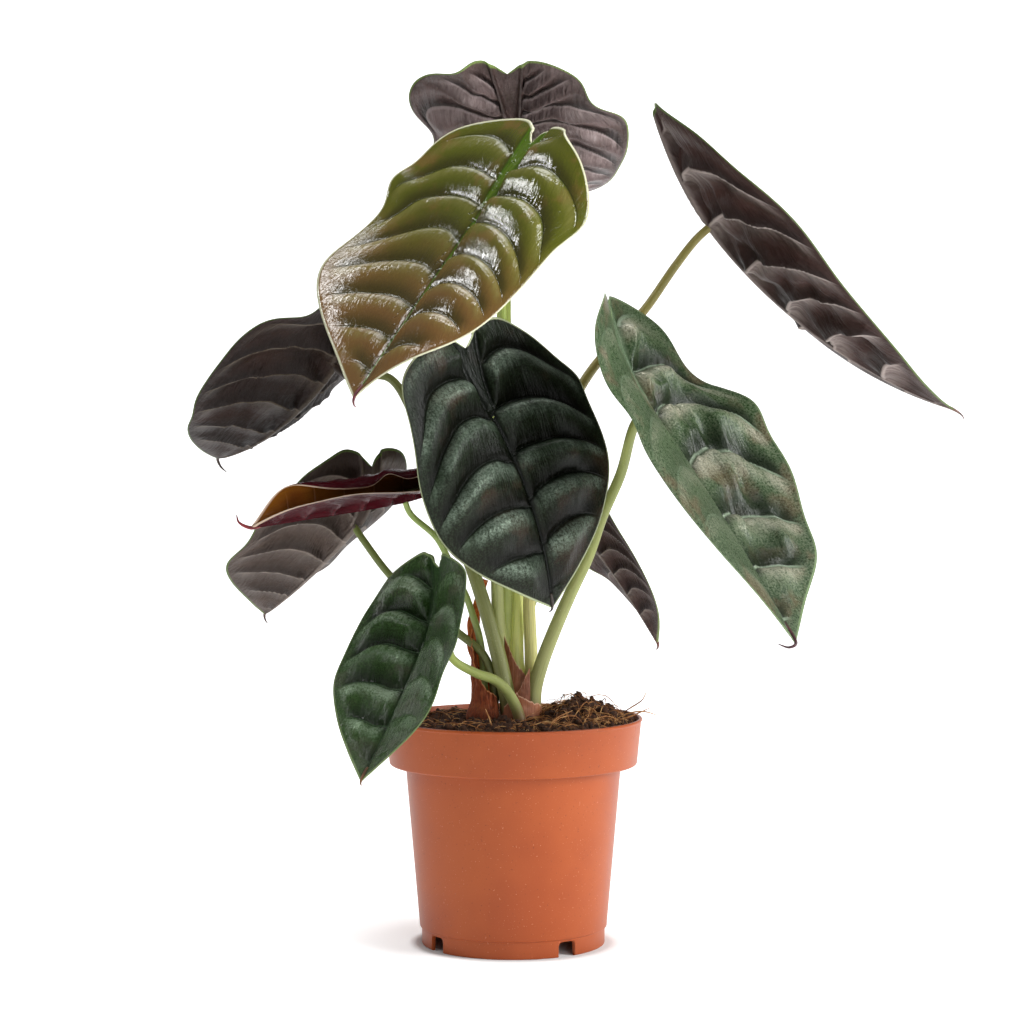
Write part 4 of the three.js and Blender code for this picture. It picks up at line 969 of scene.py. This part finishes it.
# Upper face: colours at the lobes and at the tip and where one gives way to the other; colour
# and share of the bronze clouds, the painted shade in the hollows, the painted highlight on the
# crests, the painted glint of the bloom, side veins and midrib; margin, gloss and skin. Underside:
# colour, ridges that also give the painted highlight on the folds, clouds, gloss, and depth of the
# folds with their painted shade and highlight. Last, the hooked end.
# Its hollow, crest and bloom colours are painted shade, painted highlight and painted glint.
DARK_GREEN = [
    (30, 42, 30), (34, 44, 32), (0.15, 0.65), (44, 36, 24, 0.5), (16, 18, 12, 0.8), (70, 84, 66, 0.6),
    (128, 136, 118, 0.5)]
DARK_VEINS = [(22, 30, 22, 0.7), (18, 24, 18, 0.9)]
FINISHES = {
    "upper_left": (
        (*DARK_GREEN, *DARK_VEINS, (96, 116, 62), 0.36, MATURE),
        ((35, 20, 14), (102, 90, 76), (49, 29, 21), 0.46, 0.6), ((84, 60, 52), (56, 40, 38))),
    "mid_right": (
        ((60, 84, 50), (72, 90, 64), (0.05, 0.65), (104, 88, 66, 0.75), (20, 30, 16, 0.9),
         (134, 142, 118, 0.65), (222, 218, 196, 0.9), (160, 178, 152, 0.75), (110, 130, 104, 0.6),
         (120, 140, 100), 0.2, MATURE | {"shine": 0.35}),
        ((44, 28, 28), (92, 82, 80), (60, 40, 38), 0.46, 0.5), ((80, 36, 44), (60, 30, 36))),
    "low_front": (
        ((40, 64, 24), (52, 76, 36), (0.15, 0.65), (98, 84, 82, 0.3), (16, 29, 9, 0.85),
         (84, 120, 70, 0.6), (206, 232, 198, 0.8), (84, 116, 78, 0.3), (44, 66, 40, 0.6), (128, 148, 96),
         0.1, MATURE | {"shine": 0.36, "net": 0.5, "grain": 0.5}),
        ((50, 34, 34), (104, 92, 88), (66, 48, 46), 0.46, 0.5), ((128, 86, 50), (90, 58, 38))),
    "centre": (
        # The centre leaf's pale margin is made lighter still, as a painted highlight of the floor's light
        # from below; the underside takes the same edge colour.
        ((20, 26, 14), (24, 28, 14), (0.15, 0.65), (54, 38, 26, 0.75), (6, 7, 3, 0.95), (66, 82, 64, 0.5),
         (154, 172, 154, 0.75), (16, 22, 15, 0.7), (13, 17, 12, 0.92), (190, 200, 158), 0.22,
         MATURE | {"shine": 0.14, "grain": 0.55}),
        ((44, 28, 28), (92, 82, 80), (60, 40, 38), 0.46, 0.5), ((64, 54, 42), (48, 38, 32))),
    "high_right": (
        (*DARK_GREEN, *DARK_VEINS, (96, 116, 62), 0.36, MATURE),
        ((48, 27, 21), (176, 162, 156), (64, 38, 32), 0.42, 0.7), ((110, 70, 54), (70, 40, 36))),
    "top_back": (
        ((52, 74, 38), (60, 66, 40), *DARK_GREEN[2:], (44, 60, 34, 0.6), (50, 66, 36, 0.8),
         (120, 142, 74), 0.3, MATURE),
        ((76, 60, 56), (156, 140, 138), (112, 92, 90), 0.24, 0.9), ((110, 80, 70), (90, 60, 56))),
    "top_front": (
        ((88, 92, 20), (116, 84, 44), (0.1, 0.57), (118, 92, 44, 0.75), (50, 48, 8, 0.8),
         (138, 134, 72, 0.5), (150, 140, 96, 0.1), (60, 66, 16, 0.5), (82, 118, 20, 0.85),
         (226, 226, 192), 0.03, DEWY),
        ((112, 84, 76), (150, 120, 100), (124, 88, 76), 0.35, 0.4), ((120, 34, 44), (90, 24, 36))),
    "small_right": (
        ((58, 96, 52), (66, 98, 58), (0.15, 0.65), (84, 88, 60, 0.3), (40, 66, 34, 0.4),
         (84, 110, 76, 0.4), (150, 168, 140, 0.3), (96, 128, 88, 0.4), (84, 116, 76, 0.6), (140, 160, 96),
         0.34, MATURE),
        ((66, 46, 42), (138, 126, 116), (78, 56, 50), 0.42, 0.6), ((120, 60, 40), (90, 40, 34))),
    "mid_left": (
        ((44, 66, 42), *DARK_GREEN[1:], *DARK_VEINS, (110, 132, 70), 0.34, MATURE),
        ((70, 57, 50), (142, 130, 120), (88, 74, 66), 0.44, 0.6), ((100, 70, 60), (70, 50, 46))),
    "young_left": (
        ((112, 66, 20), (146, 90, 30), (0.05, 0.65), (124, 60, 30, 0.4), (80, 40, 14, 0.3),
         (140, 90, 40, 0.3), (190, 140, 80, 0.05), (190, 130, 90, 0.3), (186, 176, 120, 0.9),
         (226, 200, 176), 0.12, DEWY),
        ((62, 3, 14), (88, 10, 24), (78, 5, 18), 0.1, 0.1), ((160, 56, 60), (110, 30, 38))),
}

for seed, (name, (upper, lower, tip)) in enumerate(FINISHES.items(), 31):
    row_count, column_count = RELIEF[name][5:]
    s = np.linspace(0, 1, row_count + 1)
    v = np.linspace(0, 1, column_count + 1) ** COLUMN_POWER
    sheet, across, along = blade_sheet(name, s, v)
    w = np.hstack([-v[:0:-1], v])
    normal = grid_normal(sheet)
    wander = smooth_noise(across * 50, along * 130, 38.0, seed + 90) * np.minimum(1, np.abs(across) * 5)
    along = along + 0.03 * wander
    rise, groove, rib = relief(name, across, along, w, seed)
    still = stillness(s)[:, None]
    half = BLADE_THICK / 2 * np.sqrt(np.clip(1 - np.abs(w) ** EDGE_POWER, 0, 1)) + 0 * rise
    below = half + (0.5 * groove + rib * (2.2 - 1.5 * np.clip(along, 0, 0.7) / 0.7)) * still
    faces = [sheet + normal * ((rise * still + off) * np.minimum(1, still * 4))[..., None]
             for off in (half, -below)]
    flat = np.stack([across, along], -1)
    margin = (1 - np.abs(w)) * np.maximum(outline(s)[:, :1], 0.05) * BLADES[name][0][1] / 2
    skins = [upper_finish(name, *upper), lower_finish(name, upper[9], *lower), tip_finish(name, *tip)]
    grids = [{"points": wrapped(*faces), "flat": wrapped(flat, flat), "margin": wrapped(margin, margin),
              "slot": (np.arange(2 * len(w)) >= len(w)).astype(int)}]
    tail_from = sheet[int(row_count * TAIL_START), len(w) // 2]
    grids.append(drip_tip(name, sheet[-1, 0], tail_from) | {"slot": 2})
    blade = add_piece("blade_" + name, grids, skins)
    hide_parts("leaf_" + name)
    next(part["material_slot"] for part in frame["record"]["subparts"]
                        if part["node"] == "leaf_" + name)


# The picture
# The camera stands 1.25 m in front of the pot, a little above the plant's middle. A white sweep
# glows, least at the foot of the pot, which leaves a faint shadow. The main soft light comes from
# the right; two small ones show in the glossy leaves and two wide, weak ones fill in.

# The focal length as a share of the picture's width, and the camera's place and tilt.
FOCAL = 2700 / 1024
EYE = (-0.6, -1254.0, 250.0)
TILT = -0.039
scene = bpy.context.scene
lens = bpy.data.cameras.new("camera")
lens.sensor_width = 36.0
lens.lens = FOCAL * lens.sensor_width
camera = bpy.data.objects.new("camera", lens)
camera.location = (AXIS + EYE) / 1000
camera.rotation_euler = (np.pi / 2 + TILT, 0, 0)
scene.collection.objects.link(camera)
scene.camera = camera

# The sweep's half width, its floor ahead and behind, the bend's radius and the wall's height.
SWEEP = {"half": 1000, "ahead": -1200, "behind": 2000, "bend": 500, "height": 1900}
sweep, shade, place = new_finish("white sweep")
x, y, _ = place.split()
x, y = x - float(AXIS[0]) / 1000, y - float(AXIS[1]) / 1000
away = (x * x + y * y).maths("SQRT")
glow = away.rise(0.044, 0.05) * (0.52 - 0.14 * x.rise(-0.03, 0.04))
glow = glow + away.rise(0.055, 0.085) * 0.2 + away.rise(0.2, 1.0) * 0.34
surface(shade, (0.85, 0.85, 0.85, 1), 0.7 + 0.05 * place.noise(3.0),
        {"Emission Color": glow.blend((0, 0, 0, 1), (1, 1, 1, 1)), "Emission Strength": 1.0})
turn = np.linspace(0, np.pi / 2, 24)
y, z = SWEEP["behind"] + SWEEP["bend"] * np.sin(turn), SWEEP["bend"] * (1 - np.cos(turn))
y, z = np.hstack([SWEEP["ahead"], y, y[-1]]), np.hstack([0, z, SWEEP["height"]])
slant = np.hstack([0, turn, np.pi / 2])
faces = []
for depth in (0.02, 20):
    line = np.stack([0 * y, y + depth * np.sin(slant), z - depth * np.cos(slant)], -1)
    faces.append(line[:, None] + np.array([[-1, 0, 0], [0, 0, 0], [1, 0, 0]]) * SWEEP["half"])
floor = add_piece("floor", [{"points": closed_sheet(*faces)}], [sweep], shown=False)


# Place, point aimed at, width and power of each round lamp, and the spread of its beam in degrees.
LAMPS = {
    "key": ((1.25, -0.55, 0.65), (0, 0, 0.2), 0.8, 20, 180),
    "left": ((-1.2, -0.05, 1.02), (-0.04, -0.05, 0.36), 0.3, 0.36, 40),
    "above": ((-0.16, -0.34, 1.5), (-0.06, -0.05, 0.35), 0.3, 0.17, 40),
    "top": ((0.1, 0.3, 1.5), (0, 0, 0.25), 0.9, 8, 180),
    "front": ((0.5, -1.45, 0.4), (0, 0, 0.2), 0.7, 3.5, 180),
}
for name, (place, aim, size, power, spread) in LAMPS.items():
    lamp = bpy.data.lights.new(name, "AREA")
    lamp.shape = "DISK"
    lamp.size, lamp.energy, lamp.spread = size, power, np.radians(spread)
    made = bpy.data.objects.new(name, lamp)
    made.location = place + AXIS / 1000
    x, y, z = np.array(place) - aim
    made.rotation_euler = (np.arctan2(np.hypot(x, y), z), 0, np.arctan2(x, -y))
    scene.collection.objects.link(made)

world = bpy.data.worlds.new("white room")
world.use_nodes = True
world.node_tree.nodes.clear()
air = Shade(world.node_tree)
seen = air.node("LightPath", out="Is Camera Ray")
light = air.node("Background", {"Color": (1, 1, 1, 1), "Strength": 0.12 + seen * 0.88})
air.tree.links.new(light.socket, air.tree.nodes.new("ShaderNodeOutputWorld").inputs["Surface"])
scene.world = world
scene.view_settings.view_transform = "Standard"
